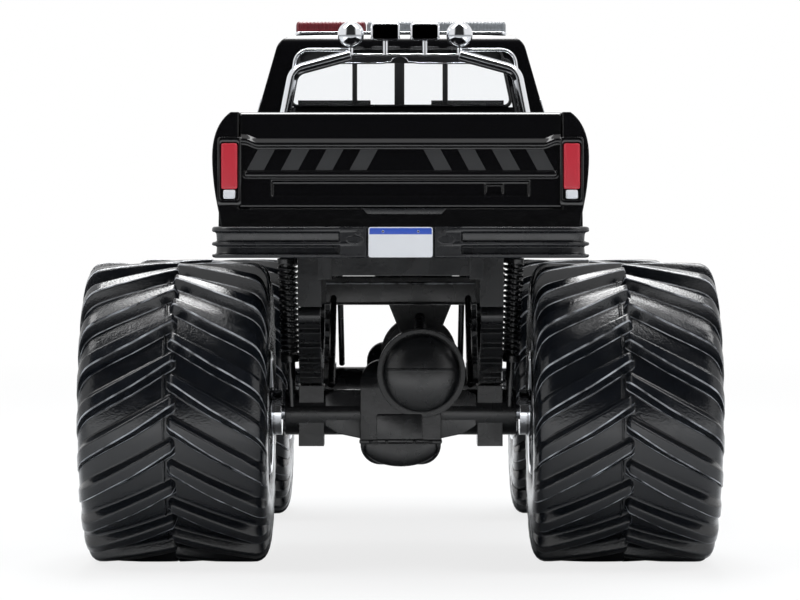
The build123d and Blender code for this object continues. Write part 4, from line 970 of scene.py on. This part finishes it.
door_rear, door_front, door_foot, door_head = 1.7, 17.6, 29.3, 38.5
door_corner = 0.5
door_outline = [
    (door_rear, door_head), (door_rear, door_foot + door_corner), (door_rear + door_corner, door_foot),
    (door_front - door_corner, door_foot), (door_front, door_foot + door_corner), (door_front, door_head),
]
door_line = []  # places about half a millimetre apart along the outline
for (x0, z0), (x1, z1) in zip(door_outline, door_outline[1:]):
    count = max(2, int(math.hypot(x1 - x0, z1 - z0) / 0.5))
    door_line += [(x0 + (x1 - x0) * t, z0 + (z1 - z0) * t) for t in spread(0.0, 1.0, count)[:-1]]
door_line.append(door_outline[-1])
handle_x, handle_z = 3.6, 37.1
pillar_x, pillar_foot, pillar_head = 0.25, 39.3, 47.1
for side_name, side in sides:
    shut_line = Shape()
    shut_line.rod(on_cab_side(door_line, side), 0.06, 6)
    make(shut_line, f"door_shut_line_{side_name}", [black_abs], smooth=60)
    skin_y = on_side("cab_body", handle_x, handle_z, side).y
    handle = Shape()
    backing = rounded(rectangle(2.0, 0.62, (handle_x, handle_z)), 0.26, 5)
    handle.prism(backing, "y", skin_y - side * 0.1, skin_y + side * 0.05)
    grip = rounded(rectangle(1.5, 0.3, (handle_x - 0.15, handle_z + 0.06)), 0.14)
    handle.prism(grip, "y", skin_y, skin_y + side * 0.24)
    make(handle, f"door_handle_{side_name}", [plated_chrome], bevel=0.04)
    corner_trim = Shape()
    pillar = [(pillar_x, z) for z in spread(pillar_foot, pillar_head, 14)]
    corner_trim.rod(on_cab_side(pillar, side), 0.09, 8)
    make(corner_trim, f"cab_corner_trim_{side_name}", [plated_chrome], smooth=60)

wipers = Shape()
for foot_y in (-1.2, -8.4):
    arm = []
    for t in spread(0.0, 1.0, 11):
        point = on_surface("glazing", (60, foot_y + 6.4 * t, 39.75 + 1.5 * t), (-1, 0, 0))
        if point:
            arm.append(point + Vector((0.12, 0, 0.06)))
    wipers.rod(arm, 0.07, 6)
    wipers.rod(arm[5:], 0.12, 6)
make(wipers, "windscreen_wipers", [black_abs], smooth=60)

filler_cap = Shape()
cap_profile = [(0.78, -0.05), (0.78, 0.04), (0.7, 0.1), (0.2, 0.12), (0.0, 0.12)]
filler_cap.lathe(cap_profile, on_side("bed_body", -12.0, 36.6, 1), 28, "y")
make(filler_cap, "fuel_filler_cap", [black_enamel], smooth=40)

# Nodes carried over as they are, each with its finish
for one, nodes in (
    (black_enamel, ("cab_body", "bed_body")),
    (clear_styrene, ("glazing",)),
    (interior_plastic, ("interior", "dashboard", "steering_wheel")),
    (plated_chrome, ("grille", "roll_bar")),
    (clear_lens, ("headlamps",)),
    (amber_lens, ("indicators",)),
    (black_abs, ("chassis_base", "transfer_case", "rear_axle_housing", "front_axle_housing")),
    (black_abs, ("leaf_springs", "radius_links", "drive_shafts")),
    (drawn_steel, ("rear_axle_pin", "front_axle_pin")),
):
    for node in nodes:
        for material_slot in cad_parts[node].material_slots:
            material_slot.link = "OBJECT"
            material_slot.material = one

# Paper floor, which glows for the camera and keeps the truck's shadow
floor_reach = 9.0  # metres
floor_mesh = bpy.data.meshes.new("studio_floor")
floor_corners = [(x, y, 0) for x, y in rectangle(2 * floor_reach, 2 * floor_reach)]
floor_mesh.from_pydata(floor_corners, [], [(0, 1, 2, 3)])
floor = bpy.data.objects.new("studio_floor", floor_mesh)
bpy.context.scene.collection.objects.link(floor)
floor_material = bpy.data.materials.new("white_paper_floor")
floor_material.use_nodes = True
tree = floor_material.node_tree
tree.nodes.clear()
paths = add_node(tree, "ShaderNodeLightPath")
paper = add_node(tree, "ShaderNodeBsdfDiffuse", {"Color": linear("#d4d6d8")})
glow = add_node(tree, "ShaderNodeEmission", {"Color": (1, 1, 1, 1), "Strength": 1.0})
position = add_node(tree, "ShaderNodeNewGeometry").outputs["Position"]
far = add_node(tree, "ShaderNodeVectorMath", {0: position, 1: (1.0, 0.0, 0.0)}, operation="DOT_PRODUCT")
fading = add_node(
    tree, "ShaderNodeMapRange",
    {"Value": far.outputs["Value"], "From Min": 0.02, "From Max": 0.5, "To Min": 0.8, "To Max": 1.0},
    interpolation_type="SMOOTHSTEP",
)
shown = add_node(
    tree, "ShaderNodeMath",
    {0: paths.outputs["Is Camera Ray"], 1: fading.outputs["Result"]}, operation="MULTIPLY",
)
mixed = add_node(tree, "ShaderNodeMixShader", {0: shown.outputs[0], 1: paper.outputs[0], 2: glow.outputs[0]})
add_node(tree, "ShaderNodeOutputMaterial", {"Surface": mixed.outputs[0]})
floor_mesh.materials.append(floor_material)

# White tent, open behind the truck, with a bright card each side; the camera and glass see plain white
world = bpy.data.worlds.new("light_tent")
bpy.context.scene.world = world
world.use_nodes = True
tree = world.node_tree
tree.nodes.clear()
direction = add_node(tree, "ShaderNodeTexCoord").outputs["Generated"]
backwards = add_node(
    tree, "ShaderNodeVectorMath", {0: direction, 1: (-1.0, 0.0, 0.0)}, operation="DOT_PRODUCT",
)
tent = add_node(
    tree, "ShaderNodeMapRange",
    {"Value": backwards.outputs["Value"], "From Min": -0.05, "From Max": 0.4, "To Min": 1.0, "To Max": 0.03},
    interpolation_type="SMOOTHSTEP",
)
sideways = add_node(tree, "ShaderNodeVectorMath", {0: direction, 1: (0.0, 1.0, 0.0)}, operation="DOT_PRODUCT")
aside = add_node(tree, "ShaderNodeMath", {0: sideways.outputs["Value"]}, operation="ABSOLUTE")
cards = add_node(
    tree, "ShaderNodeMapRange",
    {"Value": aside.outputs[0], "From Min": 0.32, "From Max": 0.5, "To Min": 0.03, "To Max": 0.95},
    interpolation_type="SMOOTHSTEP",
)
lit = add_node(
    tree, "ShaderNodeMath", {0: tent.outputs["Result"], 1: cards.outputs["Result"]}, operation="MAXIMUM",
)
paths = add_node(tree, "ShaderNodeLightPath")
seen = add_node(
    tree, "ShaderNodeMath",
    {0: paths.outputs["Is Camera Ray"], 1: paths.outputs["Is Transmission Ray"]}, operation="MAXIMUM",
)
level = add_node(tree, "ShaderNodeMix", {0: seen.outputs[0], 2: lit.outputs[0], 3: 1.0}, data_type="FLOAT")
dimmed = add_node(
    tree, "ShaderNodeMath", {0: paths.outputs["Is Diffuse Ray"], 1: -0.45, 2: 1.0}, operation="MULTIPLY_ADD",
)
strength = add_node(tree, "ShaderNodeMath", {0: level.outputs[0], 1: dimmed.outputs[0]}, operation="MULTIPLY")
background = add_node(tree, "ShaderNodeBackground", {"Color": (1, 1, 1, 1), "Strength": strength.outputs[0]})
add_node(tree, "ShaderNodeOutputWorld", {"Surface": background.outputs[0]})


def soft_box(name, where, aim, size, power):
    """A rectangular soft box that looks at a point; power is in watts."""
    light = bpy.data.lights.new(name, "AREA")
    light.shape = "RECTANGLE"
    light.size, light.size_y = (value * MM for value in size)
    light.energy = power
    lamp = bpy.data.objects.new(name, light)
    lamp.location = Vector(where) * MM
    lamp.visible_camera = False
    lamp.rotation_euler = (Vector(aim) - Vector(where)).to_track_quat("-Z", "Y").to_euler()
    bpy.context.scene.collection.objects.link(lamp)


soft_box("back_top_box", (150, 0, 380), (0, 0, 15), (130, 320), 1.6)
soft_box("left_box", (-110, 165, 350), (0, 0, 20), (120, 200), 0.5)
soft_box("right_box", (-110, -165, 350), (0, 0, 20), (120, 200), 0.5)
soft_box("floor_card", (-118, 0, 4.0), (-108, 0, 100), (240, 90), 0.06)
